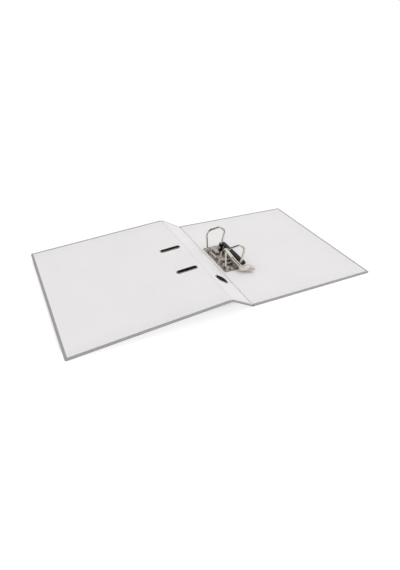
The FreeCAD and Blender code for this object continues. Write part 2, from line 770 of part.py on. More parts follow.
def make_bow_spring():
    """The torsion spring around the crossbar; its two legs lie in the plate's window."""
    wire = value("Size.spring_wire")
    coil = value("Size.wire_radius") + value("Size.spring_clear") + wire
    pitch, turns = value("Size.spring_pitch"), value("Size.spring_turns")
    helix = Part.makeHelix(pitch, pitch * turns, coil)
    profile = Part.makeCircle(wire, Vector(coil, 0, 0), Y_AXIS)
    for shape in (helix, profile):
        shape.rotate(Vector(0, 0, 0), X_AXIS, -90)
        shape.rotate(Vector(0, 0, 0), Y_AXIS, 90)
    spring = Part.Wire(helix.Edges).makePipeShell([Part.Wire(profile.Edges)], True, True)
    start, end = Vector(0, 0, -coil), Vector(0, pitch * turns, -coil)
    reach = value("Size.spring_leg")
    leg = Vector(reach, -reach, 0)
    ends = [
        Part.makeCylinder(wire, leg.Length, start, leg),
        Part.makeSphere(wire, start),
        Part.makeCylinder(wire, value("Size.spring_tail"), end, -X_AXIS),
        Part.makeSphere(wire, end),
    ]
    kept.append(add_shape("bow_spring", spring.fuse(ends), x=from_crease("Size.bow_axis"),
                          y=SPRING_LOW, z=BOW_HEIGHT))


LEVER_PLACE = {"x": from_crease("Size.lever_pivot"), "y": "Size.lever_pivot_offset", "z": PIVOT_HEIGHT}
LEVER_POINTS = [
    ("Size.lever_bend", LEVER_BEND),
    ("Size.lever_bend", LEVER_END),
    ("Size.lever_end", LEVER_END),
]


def lever_block(path, half_width, bottom, top):
    """A block of even width along a path, with round ends."""
    outline = path.makeOffset2D(half_width, 0, False, False, False)
    face = Part.Face(outline if isinstance(outline, Part.Wire) else Part.Wire(outline.Edges))
    block = face.extrude(Vector(0, 0, top - bottom))
    block.translate(Vector(0, 0, bottom))
    return block


def straight_block(start, end, half_width, bottom, top):
    """A block of even width between two points, with round ends."""
    along = (end - start).normalize() * half_width
    across = Vector(-along.y, along.x, 0)
    outline = Part.Wire([
        Part.makeLine(start - across, end - across),
        Part.Arc(end - across, end + along, end + across).toShape(),
        Part.makeLine(end + across, start + across),
        Part.Arc(start + across, start - along, start - across).toShape(),
    ])
    block = Part.Face(outline).extrude(Vector(0, 0, top - bottom))
    block.translate(Vector(0, 0, bottom))
    return block


def cross_pin(radius, y, z, reach):
    """A cylinder along X, centred, in the lever's frame."""
    return Part.makeCylinder(radius, 2 * reach, Vector(-reach, y, z), X_AXIS)


def roller_centre():
    """Centre of the roller in the lever's frame."""
    reach = value("Size.roller_reach")
    x = (value("Size.lever_bend") - value("Size.lever_pivot")) * reach / value(LEVER_RUN)
    return Vector(x, -reach, -value("Size.roller_drop"))


def make_lever():
    """A pressed channel, open underneath, that hooks round to its thumb tab."""
    radii = [value("Size.lever_bend_radius"), value("Size.lever_hook_radius")]
    path = lever_path(LEVER_POINTS, radii)
    half, wall = value("Size.lever_half_width"), value("Size.lever_wall")
    under, over = -value("Size.lever_under"), value("Size.lever_over")
    lever = lever_block(path, half, under, over)
    lever = lever.cut(lever_block(path, half - wall, under, over - wall))
    run = value(LEVER_RUN)
    bend = Vector(value("Size.lever_bend") - value("Size.lever_pivot"), -run, 0)
    slot_start = bend * (1 - value("Size.lever_slot_before_bend") / run)
    slot_end = bend - Y_AXIS * value("Size.lever_slot_past_bend")
    for start, end in ((slot_start, bend), (bend, slot_end)):
        lever = lever.cut(straight_block(
            start, end, value("Size.lever_slot_width") / 2, over - 2 * wall, over + wall))
    bore = value("Size.pin_radius") + value("Size.running_clear")
    centre = roller_centre()
    roller_bore = Part.makeCylinder(
        value("Size.roller_pin_radius"), 4 * half, centre - X_AXIS * (2 * half), X_AXIS)
    lever = lever.cut(cross_pin(bore, 0, 0, 2 * half)).cut(roller_bore)
    kept.append(add_shape("lever", lever, **LEVER_PLACE))


def make_lever_bracket():
    """A folded bracket with two ears that hold the lever's pivot pin."""
    inner = value("Size.lever_half_width") + value("Size.ear_clear")
    ear, depth, sole = value("Size.ear_thick"), value("Size.ear_depth"), value("Size.bracket_thick")
    floor = value(PLATE_TOP) - value(PIVOT_HEIGHT)
    top = value("Size.pin_radius") + value("Size.ear_over_pin")
    outer = inner + ear
    bracket = Part.makeBox(2 * outer, depth, sole, Vector(-outer, -depth / 2, floor))
    for side in (-outer, inner):
        upright = Part.makeBox(ear, depth, -floor, Vector(side, -depth / 2, floor))
        head = Part.makeCylinder(depth / 2, ear, Vector(side, 0, 0), X_AXIS)
        bracket = bracket.fuse([upright, head])
    limit = Part.makeBox(4 * outer, 2 * depth, top - floor, Vector(-2 * outer, -depth, floor))
    bracket = bracket.common(limit).cut(cross_pin(value("Size.pin_radius"), 0, 0, 2 * outer))
    kept.append(add_shape("lever_bracket", bracket.removeSplitter(), **LEVER_PLACE))


def headed_pin(label, radius, reach, head_radius, head_thick, centre, where):
    """A pin along X with a flat head at each end."""
    pin = Part.makeCylinder(radius, 2 * reach, Vector(-reach, 0, 0), X_AXIS)
    for start in (-reach - head_thick, reach):
        pin = pin.fuse(Part.makeCylinder(head_radius, head_thick, Vector(start, 0, 0), X_AXIS))
    pin = pin.removeSplitter()
    pin.translate(centre)
    kept.append(add_shape(label, pin, **where))


def make_pins():
    half = value("Size.lever_half_width")
    ears = half + value("Size.ear_clear") + value("Size.ear_thick")
    headed_pin("lever_pin", value("Size.pin_radius"), ears, value("Size.pin_head_radius"),
               value("Size.pin_head_thick"), Vector(0, 0, 0), LEVER_PLACE)
    start = roller_centre() - X_AXIS * half
    axle = Part.makeCylinder(value("Size.roller_pin_radius"), 2 * half, start, X_AXIS)
    kept.append(add_shape("roller_pin", axle, **LEVER_PLACE))


def make_roller():
    half = value("Size.lever_half_width") - value("Size.lever_wall") - value("Size.roller_side_clear")
    centre = roller_centre()
    start = centre - X_AXIS * half
    roller = Part.makeCylinder(value("Size.roller_radius"), 2 * half, start, X_AXIS)
    bore = value("Size.roller_pin_radius") + value("Size.running_clear")
    roller = roller.cut(Part.makeCylinder(bore, 2 * half, start, X_AXIS))
    kept.append(add_shape("roller", roller, **LEVER_PLACE))


def make_thumb_tab():
    """The plastic cap moulded over the lever's hooked end."""
    length, width, thick = value("Size.tab_length"), value("Size.tab_width"), value("Size.tab_thick")
    rounding = value("Size.tab_round")
    end = Vector(value("Size.lever_end"), value(LEVER_END), 0)
    pivot = Vector(value("Size.lever_pivot"), value("Size.lever_pivot_offset"), 0)
    middle = end - pivot
    turn = math.radians(value("Size.tab_turn"))
    reach = Vector(math.sin(turn), -math.cos(turn), 0) * ((length - width) / 2)
    low = (value("Size.lever_over") - value("Size.lever_under") - thick) / 2
    tab = straight_block(middle - reach, middle + reach, width / 2, low, low + thick)
    rims = [edge for edge in tab.Edges if abs(edge.BoundBox.ZLength) < 1e-6]
    tab = tab.makeFillet(rounding, rims)
    radii = [value("Size.lever_bend_radius"), value("Size.lever_hook_radius")]
    socket = lever_block(lever_path(LEVER_POINTS, radii), value("Size.lever_half_width"),
                         -value("Size.lever_under"), value("Size.lever_over"))
    kept.append(add_shape("thumb_tab", tab.cut(socket), **LEVER_PLACE))


def make_sliding_bar():
    """The black bar that holds the papers down and slides on the posts."""
    body = new_body("compressor_bar")
    low, high = "Size.bar_start", "(Size.bar_start + Size.bar_width)"
    half = f"({RING} + Size.bar_past_ring)"
    bottom = f"({PLATE_TOP} + Size.bar_rest)"
    strip = new_sketch(body, "bar_outline", offset=bottom)
    left, right = "Size.bar_left_corner", "Size.bar_right_corner"
    draw_outline(strip, [
        (low, f"-{half}", left), (high, f"-{half}", right), (high, half, right), (low, half, left),
    ])
    pad(body, strip, "Size.bar_thick", "bar_strip")
    bosses = new_sketch(body, "bar_boss_outline", offset=f"({PLATE_TOP} + Size.bar_boss_lift)")
    mid = f"({bottom} + Size.bar_thick / 2)"
    at_bar = f"(Size.post_foot + ({mid} - {PLATE_TOP}) * tan(Size.post_lean))"
    for sign in ("-", "+"):
        draw_circle(bosses, at_bar, f"{sign}{RING}", "Size.bar_boss_radius")
    pad(body, bosses, "Size.bar_rest - Size.bar_boss_lift + Size.bar_thick", "bar_bosses")
    place(body, **MECHANISM_PLACE)
    return body


def drill_bar(body):
    """Two holes along the posts' lean, with room to slide and to sit over the posts' collars."""
    radius = "Size.post_radius + Size.bar_hole_clear"
    collar = "(Size.post_collar_radius + Size.bar_hole_clear)"
    deeper = f"({collar} / cos(Size.post_lean))"
    tools = []
    for name, sign in (("low", "-"), ("high", "+")):
        where = post_place(sign)
        where["x"] = from_crease(f"(Size.post_foot - {collar} * tan(Size.post_lean))")
        where["z"] = f"{PLATE_TOP} - {collar}"
        tools.append(part_cylinder(f"bar_hole_{name}", radius, f"Size.post_top + {deeper}", **where))
        tools.append(part_cylinder(
            f"bar_counterbore_{name}", collar,
            f"{deeper} + Size.post_collar_height + Size.bar_hole_clear", **where))
    drilled = document.addObject("Part::Cut", "compressor_bar_drilled")
    drilled.Base = body
    drilled.Tool = fused("bar_hole_tools", tools)
    body.Label = "compressor_bar_blank"
    drilled.Label = "compressor_bar"
    kept.append(drilled)


make_cover("back", "+", BACK_PLACE, open_back)
make_cover("front", "-", FRONT_PLACE, open_front)
make_spine()
make_crease("back_crease", "Size.spine_rise", BACK_PLACE)
make_crease("front_crease", f"-(Size.spine_rise + {FRONT_DROP})", RIDGE_PLACE)
make_slot_eyelets()
make_finger_ring()
make_base_plate()
make_rivets()
make_post("post_bottom", "-")
make_post("post_top", "+")
make_bow()
make_bow_spring()
make_lever_bracket()
make_lever()
make_pins()
make_roller()
make_thumb_tab()
drill_bar(make_sliding_bar())
document.recompute()


ANGLE_ERROR = 1e-6  # radians


def check_and_export():
    """Refuse to write anything if any object failed or any sub-part's shape is not sound."""
    for thing in document.Objects:
        failed = [state for state in thing.State if state in ("Invalid", "Error")]
        if failed:
            raise RuntimeError(f"{thing.Name}: {failed}")
    for thing in kept:
        if thing.Shape.isNull() or not thing.Shape.isValid() or not thing.Shape.Solids:
            raise RuntimeError(f"{thing.Label}: unsound shape")
    for sketch in document.findObjects("Sketcher::SketchObject"):
        arcs = [curve for curve in sketch.Geometry if isinstance(curve, Part.ArcOfCircle)]
        if any(arc.LastParameter - arc.FirstParameter > math.pi + ANGLE_ERROR for arc in arcs):
            raise RuntimeError(f"{sketch.Label}: an arc runs the long way round")
    os.makedirs("parts", exist_ok=True)
    for thing in kept:
        box = thing.Shape.BoundBox
        print(f"{thing.Label:18} solids {len(thing.Shape.Solids)} volume {thing.Shape.Volume:10.1f} "
              f"x {box.XMin:8.2f} {box.XMax:8.2f} y {box.YMin:8.2f} {box.YMax:8.2f} "
              f"z {box.ZMin:7.2f} {box.ZMax:7.2f}")
        thing.Shape.exportStep(f"parts/{thing.Label}.step")


check_and_export()
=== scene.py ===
import bmesh
import bpy
import json
import math
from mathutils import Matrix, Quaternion, Vector


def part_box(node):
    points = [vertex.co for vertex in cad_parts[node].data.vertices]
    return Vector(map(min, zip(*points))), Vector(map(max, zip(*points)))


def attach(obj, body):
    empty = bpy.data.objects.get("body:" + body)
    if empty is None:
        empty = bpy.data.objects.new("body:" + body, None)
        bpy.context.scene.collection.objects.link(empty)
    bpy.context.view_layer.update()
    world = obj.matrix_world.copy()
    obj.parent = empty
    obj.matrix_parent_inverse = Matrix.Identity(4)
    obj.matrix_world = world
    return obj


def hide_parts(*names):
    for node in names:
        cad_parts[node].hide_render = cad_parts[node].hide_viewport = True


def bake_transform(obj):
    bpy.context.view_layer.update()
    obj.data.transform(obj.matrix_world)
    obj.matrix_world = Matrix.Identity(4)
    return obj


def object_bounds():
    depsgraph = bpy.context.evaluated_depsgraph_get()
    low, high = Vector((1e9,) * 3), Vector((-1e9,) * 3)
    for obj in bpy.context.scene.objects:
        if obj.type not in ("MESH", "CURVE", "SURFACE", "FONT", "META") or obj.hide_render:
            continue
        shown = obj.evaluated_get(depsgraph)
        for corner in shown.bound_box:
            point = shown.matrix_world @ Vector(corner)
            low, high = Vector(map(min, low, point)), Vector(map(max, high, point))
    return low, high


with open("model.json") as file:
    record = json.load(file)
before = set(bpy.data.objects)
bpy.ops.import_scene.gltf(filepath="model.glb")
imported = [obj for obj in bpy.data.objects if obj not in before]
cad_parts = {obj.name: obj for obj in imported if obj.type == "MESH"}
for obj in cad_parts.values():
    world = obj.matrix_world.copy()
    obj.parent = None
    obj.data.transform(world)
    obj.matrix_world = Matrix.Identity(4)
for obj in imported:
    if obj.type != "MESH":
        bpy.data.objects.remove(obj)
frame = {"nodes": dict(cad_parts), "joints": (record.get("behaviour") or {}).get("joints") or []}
cadLow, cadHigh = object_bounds()
nodes = frame["nodes"]
joints = {joint["name"]: joint for joint in frame["joints"]}
mm = 0.001
print("frame loaded")


# Shader node helpers: a node is made from its type and the values or links of its sockets.
def addNode(tree, kind, inputs=None, **settings):
    node = tree.nodes.new(kind)
    for key, value in settings.items():
        setattr(node, key, value)
    for key, value in (inputs or {}).items():
        socket = node.inputs[key]
        if isinstance(value, bpy.types.NodeSocket):
            tree.links.new(value, socket)
        else:
            socket.default_value = value
    return node


def addMath(tree, operation, first, second=0.0, clamp=False):
    node = addNode(tree, "ShaderNodeMath", {0: first, 1: second}, operation=operation, use_clamp=clamp)
    return node.outputs[0]


def scaled(tree, value, amount, clamp=False):
    return addMath(tree, "MULTIPLY", value, amount, clamp)


def blended(tree, first, second, share):
    return addMath(tree, "ADD", scaled(tree, first, 1 - share), scaled(tree, second, share))


def addRamp(tree, factor, stops):
    ramp = addNode(tree, "ShaderNodeValToRGB", {"Fac": factor})
    elements = ramp.color_ramp.elements
    while len(elements) < len(stops):
        elements.new(0.5)
    for element, (position, level) in zip(elements, stops):
        element.position = position
        element.color = (level, level, level, 1)
    return ramp.outputs["Color"]


def addNoise(tree, place, scale, detail=3.0, roughness=0.5):
    return addNode(tree, "ShaderNodeTexNoise", {
        "Vector": place, "Scale": scale, "Detail": detail, "Roughness": roughness}).outputs["Fac"]


def stretch(tree, place, amounts):
    return addNode(tree, "ShaderNodeMapping", {"Vector": place, "Scale": amounts}).outputs["Vector"]


def ease(tree, value, start, end):
    return addNode(tree, "ShaderNodeMapRange", {"Value": value, "From Min": start, "From Max": end},
                   interpolation_type="SMOOTHSTEP").outputs["Result"]


def newGroup(name, inputs, outputs):
    tree = bpy.data.node_groups.new(name, "ShaderNodeTree")
    for label, value in inputs.items():
        kind = "NodeSocketVector" if value is None else "NodeSocketFloat"
        socket = tree.interface.new_socket(label, in_out="INPUT", socket_type=kind)
        if value is not None:
            socket.default_value = value
    for label in outputs:
        tree.interface.new_socket(label, in_out="OUTPUT", socket_type="NodeSocketFloat")
    start = tree.nodes.new("NodeGroupInput")
    end = tree.nodes.new("NodeGroupOutput")
    return tree, start.outputs, lambda label, socket: tree.links.new(socket, end.inputs[label])


# Paper: crossed fibres, fine tooth and a slow mottle.
fibreShape = {
    "along": (1, 0.18, 1), "across": (0.22, 1, 1), "detail": 4.0, "roughness": 0.6,
    "toothScale": 4.5, "toothDetail": 2.0, "toothRoughness": 0.7, "toothShare": 0.3,
    "mottleDetail": 3.0, "mottleRoughness": 0.55, "mottleShare": 0.65,
    "speckScale": 1.7, "speckDetail": 1.0, "speckStops": [(0.70, 0.0), (0.76, 1.0)],
}


def makePaperFibre():
    shape = fibreShape
    tree, given, give = newGroup(
        "paperFibre", {"Place": None, "Fibre": 700.0, "Mottle": 14.0}, ["Tone", "Height", "Speck"])
    place, fibre = given["Place"], given["Fibre"]
    along, across = (
        addNoise(tree, stretch(tree, place, shape[way]), fibre, shape["detail"], shape["roughness"])
        for way in ("along", "across"))
    tooth = addNoise(tree, place, scaled(tree, fibre, shape["toothScale"]),
                     shape["toothDetail"], shape["toothRoughness"])
    slow = addNoise(tree, place, given["Mottle"], shape["mottleDetail"], shape["mottleRoughness"])
    specks = addNoise(tree, place, scaled(tree, fibre, shape["speckScale"]), shape["speckDetail"])
    fibres = addMath(tree, "MAXIMUM", along, across)
    give("Height", blended(tree, fibres, tooth, shape["toothShare"]))
    give("Tone", blended(tree, fibres, slow, shape["mottleShare"]))
    give("Speck", addRamp(tree, specks, shape["speckStops"]))
    return tree


# Handling: smudges, and broken rings like the marks that fingers leave.
handlingShape = {
    "patchDetail": 2.0, "sharpness": 5.0, "bendScale": 120.0, "bendDetail": 1.0, "bend": 0.012,
    "ringScale": 420.0, "ringDistortion": 3.0,
}


def makeHandling():
    shape = handlingShape
    tree, given, give = newGroup(
        "handling", {"Place": None, "Spread": 38.0, "Cover": 0.5}, ["Mask", "Rings"])
    patches = addNoise(tree, given["Place"], given["Spread"], shape["patchDetail"])
    low = addMath(tree, "SUBTRACT", 1.0, given["Cover"])
    mask = scaled(tree, addMath(tree, "SUBTRACT", patches, low), shape["sharpness"], clamp=True)
    bent = addNode(tree, "ShaderNodeTexNoise", {
        "Vector": given["Place"], "Scale": shape["bendScale"], "Detail": shape["bendDetail"]})
    moved = addNode(tree, "ShaderNodeVectorMath", {0: bent.outputs["Color"], "Scale": shape["bend"]},
                    operation="SCALE")
    place = addNode(tree, "ShaderNodeVectorMath", {0: given["Place"], 1: moved.outputs[0]}, operation="ADD")
    ridges = addNode(tree, "ShaderNodeTexWave", {
        "Vector": place.outputs[0], "Scale": shape["ringScale"], "Distortion": shape["ringDistortion"],
    }, wave_type="RINGS")
    give("Mask", mask)
    give("Rings", addMath(tree, "MULTIPLY", mask, ridges.outputs["Fac"]))
    return tree


# Metal: drawn or rolled grain along the page, with finer hairlines over it.
grainShape = {
    "drawn": (1, 0.04, 1), "drawnDetail": 5.0, "drawnRoughness": 0.65,
    "cloudScale": 0.12, "cloudShare": 0.5,
    "hair": (1, 0.02, 0.6), "hairScale": 3.0, "hairDetail": 2.0, "hairRoughness": 0.6,
    "hairStops": [(0.62, 0.0), (0.70, 1.0)],
}


def makeMetalGrain():
    shape = grainShape
    tree, given, give = newGroup(
        "metalGrain", {"Place": None, "Grain": 900.0}, ["Tone", "Height", "Hairline"])
    place, grain = given["Place"], given["Grain"]
    drawn = addNoise(tree, stretch(tree, place, shape["drawn"]), grain,
                     shape["drawnDetail"], shape["drawnRoughness"])
    cloud = addNoise(tree, place, scaled(tree, grain, shape["cloudScale"]))
    hair = addNoise(tree, stretch(tree, place, shape["hair"]), scaled(tree, grain, shape["hairScale"]),
                    shape["hairDetail"], shape["hairRoughness"])
    give("Tone", blended(tree, drawn, cloud, shape["cloudShare"]))
    give("Height", drawn)
    give("Hairline", addRamp(tree, hair, shape["hairStops"]))
    return tree


# Wear where a mesh carries the attribute "edge", broken up by noise.
wearShape = {"detail": 4.0, "roughness": 0.65, "stops": [(0.40, 0.15), (0.62, 1.0)]}


def makeEdgeWear():
    tree, given, give = newGroup(
        "edgeWear", {"Place": None, "Breakup": 260.0, "Amount": 0.6}, ["Mask"])
    edge = addNode(tree, "ShaderNodeAttribute", attribute_name="edge").outputs["Fac"]
    noise = addNoise(tree, given["Place"], given["Breakup"], wearShape["detail"], wearShape["roughness"])
    broken = addMath(tree, "MULTIPLY", edge, addRamp(tree, noise, wearShape["stops"]))
    give("Mask", addMath(tree, "MULTIPLY", broken, given["Amount"], clamp=True))
    return tree


groups = {
    "paperFibre": makePaperFibre(),
    "handling": makeHandling(),
    "metalGrain": makeMetalGrain(),
    "edgeWear": makeEdgeWear(),
}


def useGroup(tree, name, place, **values):
    node = addNode(tree, "ShaderNodeGroup", node_tree=groups[name])
    tree.links.new(place, node.inputs["Place"])
    for label, value in values.items():
        node.inputs[label].default_value = value
    return node.outputs


def startMaterial(name, roughness, metallic=0.0):
    material = bpy.data.materials.new(name)
    material.use_nodes = True
    tree = material.node_tree
    shader = tree.nodes["Principled BSDF"]
    shader.inputs["Roughness"].default_value = roughness
    shader.inputs["Metallic"].default_value = metallic
    place = addNode(tree, "ShaderNodeTexCoord").outputs["Object"]
    return material, tree, shader, place


# The Mix node's sockets are found by number, as its kinds of data share their names.
mixSockets = {"factor": 0, "first": 6, "second": 7, "result": 2}


def mixColour(tree, factor, first, second):
    node = addNode(tree, "ShaderNodeMix", data_type="RGBA")
    tree.links.new(factor, node.inputs[mixSockets["factor"]])
    for side, colour in (("first", first), ("second", second)):
        socket = node.inputs[mixSockets[side]]
        if isinstance(colour, bpy.types.NodeSocket):
            tree.links.new(colour, socket)
        else:
            socket.default_value = (*colour, 1)
    return node.outputs[mixSockets["result"]]


def bumpInto(tree, shader, height, distance, strength=0.5):
    bump = addNode(tree, "ShaderNodeBump", {"Height": height, "Distance": distance, "Strength": strength})
    tree.links.new(bump.outputs["Normal"], shader.inputs["Normal"])


def spread(tree, factor, low, high):
    node = addNode(tree, "ShaderNodeMapRange", {"Value": factor, "To Min": low, "To Max": high})
    return node.outputs["Result"]


# What the materials of a family share: how far each effect moves the roughness, and the scales of the rest
finish = {
    "paperLow": 0.05, "paperHigh": 0.08, "paperHandled": 0.06,
    "metalLow": 0.05, "metalHigh": 0.07, "metalRings": 0.16, "metalHairs": 0.12, "metalBump": 0.35,
    "plasticLow": 0.04, "plasticHigh": 0.06, "plasticRings": 0.10, "plasticBump": 0.4,
    "cloudScale": 90.0, "cloudDetail": 2.0, "toothRoughness": 0.6, "tarnishShare": 0.35,
    "wallLow": 0.55, "wallHigh": 0.8,
}


def roughnessAround(tree, tone, settings, family):
    return spread(tree, tone, settings["roughness"] - finish[family + "Low"],
                  settings["roughness"] + finish[family + "High"])


def makePaper(name, settings):
    material, tree, shader, place = startMaterial(name, settings["roughness"])
    fibre = useGroup(tree, "paperFibre", place, Fibre=settings["fibre"], Mottle=settings["mottle"])
    handled = useGroup(tree, "handling", place, Spread=settings["spread"], Cover=settings["cover"])
    wear = useGroup(tree, "edgeWear", place, Breakup=settings["breakup"], Amount=settings["wear"])
    colour = mixColour(tree, fibre["Tone"], settings["dark"], settings["light"])
    # The fold attribute paints shade into the pressed creases: the paper darkens there towards its crease
    # shade colour.
    fold = addNode(tree, "ShaderNodeAttribute", attribute_name="fold").outputs["Fac"]
    for factor, layer in (
            (scaled(tree, fibre["Speck"], settings["specks"]), "speckColour"),
            (scaled(tree, handled["Mask"], settings["soil"]), "soilColour"),
            (wear["Mask"], "wornColour"),
            (scaled(tree, fold, settings["fold"]), "foldColour")):
        colour = mixColour(tree, factor, colour, settings[layer])
    tree.links.new(colour, shader.inputs["Base Color"])
    rough = addMath(tree, "SUBTRACT", roughnessAround(tree, fibre["Tone"], settings, "paper"),
                    scaled(tree, handled["Mask"], finish["paperHandled"]))
    tree.links.new(rough, shader.inputs["Roughness"])
    bumpInto(tree, shader, fibre["Height"], settings["bump"])
    return material


def makeMetal(name, settings):
    material, tree, shader, place = startMaterial(name, settings["roughness"], metallic=1.0)
    grain = useGroup(tree, "metalGrain", place, Grain=settings["grain"])
    handled = useGroup(tree, "handling", place, Spread=settings["spread"], Cover=settings["cover"])
    wear = useGroup(tree, "edgeWear", place, Breakup=settings["breakup"], Amount=settings["wear"])
    colour = mixColour(tree, grain["Tone"], settings["dark"], settings["light"])
    tarnish = scaled(tree, handled["Mask"], finish["tarnishShare"])
    colour = mixColour(tree, tarnish, colour, settings["tarnish"])
    colour = mixColour(tree, wear["Mask"], colour, settings["wornColour"])
    if "wallColour" in settings:  # painted shade: darker where the surface stands upright, as on the walls inside the holes
        normal = addNode(tree, "ShaderNodeTexCoord").outputs["Normal"]
        upright = addNode(tree, "ShaderNodeSeparateXYZ", {"Vector": normal}).outputs["Z"]
        level = ease(tree, addMath(tree, "ABSOLUTE", upright), finish["wallLow"], finish["wallHigh"])
        colour = mixColour(tree, level, settings["wallColour"], colour)
    tree.links.new(colour, shader.inputs["Base Color"])
    rough = addMath(tree, "ADD", roughnessAround(tree, grain["Tone"], settings, "metal"),
                    scaled(tree, handled["Rings"], finish["metalRings"]))
    rough = addMath(tree, "ADD", rough, scaled(tree, grain["Hairline"], finish["metalHairs"]), clamp=True)
    tree.links.new(rough, shader.inputs["Roughness"])
    bumpInto(tree, shader, grain["Height"], settings["bump"], finish["metalBump"])
    return material


def makePlastic(name, settings):
    material, tree, shader, place = startMaterial(name, settings["roughness"])
    shader.inputs["Specular IOR Level"].default_value = settings["specular"]
    tooth = addNoise(tree, place, settings["tooth"], roughness=finish["toothRoughness"])
    cloud = addNoise(tree, place, finish["cloudScale"], finish["cloudDetail"])
    handled = useGroup(tree, "handling", place, Spread=settings["spread"], Cover=settings["cover"])
    wear = useGroup(tree, "edgeWear", place, Breakup=settings["breakup"], Amount=settings["wear"])
    colour = mixColour(tree, cloud, settings["dark"], settings["light"])
    colour = mixColour(tree, wear["Mask"], colour, settings["wornColour"])
    tree.links.new(colour, shader.inputs["Base Color"])
    rough = addMath(tree, "SUBTRACT", roughnessAround(tree, cloud, settings, "plastic"),
                    scaled(tree, handled["Rings"], finish["plasticRings"]), clamp=True)
    tree.links.new(rough, shader.inputs["Roughness"])
    bumpInto(tree, shader, tooth, settings["bump"], finish["plasticBump"])
    return material


# Each paper's fold share and crease shade colour paint shade into the pressed creases.
paperSettings = {
    "greyWrap": {
        "dark": (0.27, 0.265, 0.26), "light": (0.35, 0.345, 0.34), "roughness": 0.6, "bump": 0.00006,
        "fibre": 900.0, "mottle": 22.0, "specks": 0.3, "speckColour": (0.42, 0.42, 0.42),
        "spread": 30.0, "cover": 0.45, "soil": 0.12, "soilColour": (0.2, 0.19, 0.18),
        "breakup": 240.0, "wear": 0.4, "wornColour": (0.5, 0.5, 0.5),
        "fold": 0.35, "foldColour": (0.3, 0.3, 0.3),
    },
    "whiteLining": {
        "dark": (0.70, 0.70, 0.71), "light": (0.78, 0.775, 0.78), "roughness": 0.72, "bump": 0.00005,
        "fibre": 650.0, "mottle": 9.0, "specks": 0.10, "speckColour": (0.60, 0.59, 0.57),
        "spread": 16.0, "cover": 0.42, "soil": 0.08, "soilColour": (0.62, 0.59, 0.55),
        "breakup": 200.0, "wear": 0.3, "wornColour": (0.6, 0.6, 0.6),
        "fold": 0.14, "foldColour": (0.5, 0.5, 0.5),
    },
    "greyBoard": {
        "dark": (0.30, 0.28, 0.25), "light": (0.42, 0.39, 0.35), "roughness": 0.85, "bump": 0.00012,
        "fibre": 420.0, "mottle": 30.0, "specks": 0.6, "speckColour": (0.2, 0.18, 0.16),
        "spread": 30.0, "cover": 0.4, "soil": 0.1, "soilColour": (0.25, 0.23, 0.2),
        "breakup": 200.0, "wear": 0.3, "wornColour": (0.5, 0.47, 0.43),
        "fold": 0.0, "foldColour": (0.3, 0.3, 0.3),
    },
}
metalSettings = {
    "nickelSheet": {
        "dark": (0.13, 0.105, 0.09), "light": (0.42, 0.375, 0.33), "roughness": 0.2, "bump": 0.00003,
        "grain": 700.0, "spread": 70.0, "cover": 0.5, "tarnish": (0.42, 0.35, 0.28),
        "breakup": 500.0, "wear": 0.5, "wornColour": (0.86, 0.83, 0.79),
    },
    "nickelWire": {
        "dark": (0.60, 0.57, 0.53), "light": (0.80, 0.78, 0.74), "roughness": 0.14, "bump": 0.00002,
        "grain": 1400.0, "spread": 90.0, "cover": 0.5, "tarnish": (0.45, 0.40, 0.34),
        "breakup": 500.0, "wear": 0.4, "wornColour": (0.88, 0.86, 0.83),
    },
    "eyeletSteel": {
        "dark": (0.62, 0.61, 0.59), "light": (0.84, 0.83, 0.81), "roughness": 0.2, "bump": 0.00002,
        "grain": 1100.0, "spread": 80.0, "cover": 0.5, "tarnish": (0.45, 0.41, 0.36),
        "breakup": 400.0, "wear": 0.4, "wornColour": (0.9, 0.89, 0.87),
        "wallColour": (0.055, 0.045, 0.04),  # painted shade inside the hole, where hardly any light comes
    },
    "leverSheet": {
        "dark": (0.74, 0.70, 0.65), "light": (0.90, 0.87, 0.82), "roughness": 0.33, "bump": 0.00003,
        "grain": 800.0, "spread": 80.0, "cover": 0.45, "tarnish": (0.55, 0.48, 0.41),
        "breakup": 500.0, "wear": 0.5, "wornColour": (0.93, 0.91, 0.88),
    },
    "springSteel": {
        "dark": (0.30, 0.29, 0.28), "light": (0.46, 0.45, 0.43), "roughness": 0.28, "bump": 0.00002,
        "grain": 2000.0, "spread": 90.0, "cover": 0.5, "tarnish": (0.2, 0.16, 0.13),
        "breakup": 500.0, "wear": 0.4, "wornColour": (0.6, 0.58, 0.56),
    },
}
plasticSettings = {
    "blackPlastic": {
        "dark": (0.004, 0.004, 0.0045), "light": (0.009, 0.009, 0.010), "roughness": 0.3, "bump": 0.00005,
        "tooth": 2600.0, "specular": 0.14, "spread": 60.0, "cover": 0.5,
        "breakup": 400.0, "wear": 0.35, "wornColour": (0.06, 0.06, 0.06),
    },
    "greyPlastic": {
        "dark": (0.55, 0.53, 0.515), "light": (0.64, 0.62, 0.605), "roughness": 0.42, "bump": 0.00005,
        "tooth": 2200.0, "specular": 0.5, "spread": 80.0, "cover": 0.55,
        "breakup": 400.0, "wear": 0.3, "wornColour": (0.72, 0.70, 0.69),
    },
    "rollerPlastic": {
        "dark": (0.70, 0.68, 0.63), "light": (0.80, 0.78, 0.74), "roughness": 0.34, "bump": 0.00003,
        "tooth": 2600.0, "specular": 0.5, "spread": 80.0, "cover": 0.5,
        "breakup": 400.0, "wear": 0.3, "wornColour": (0.6, 0.57, 0.52),
    },
}
materials = {name: makePaper(name, settings) for name, settings in paperSettings.items()}
materials.update({name: makeMetal(name, settings) for name, settings in metalSettings.items()})
materials.update({name: makePlastic(name, settings) for name, settings in plasticSettings.items()})
slotMaterials = {
    "grey_wrap": "greyWrap", "grey_board": "greyBoard", "white_lining": "whiteLining",
    "eyelet_steel": "eyeletSteel", "nickel_sheet": "nickelSheet", "nickel_wire": "nickelWire",
    "spring_steel": "springSteel", "roller_plastic": "rollerPlastic", "grey_plastic": "greyPlastic",
    "black_plastic": "blackPlastic",
}
for node in nodes.values():
    for number, material in enumerate(node.data.materials):
        node.material_slots[number].material = materials[slotMaterials[material.name.split(".")[0]]]
print("materials made")


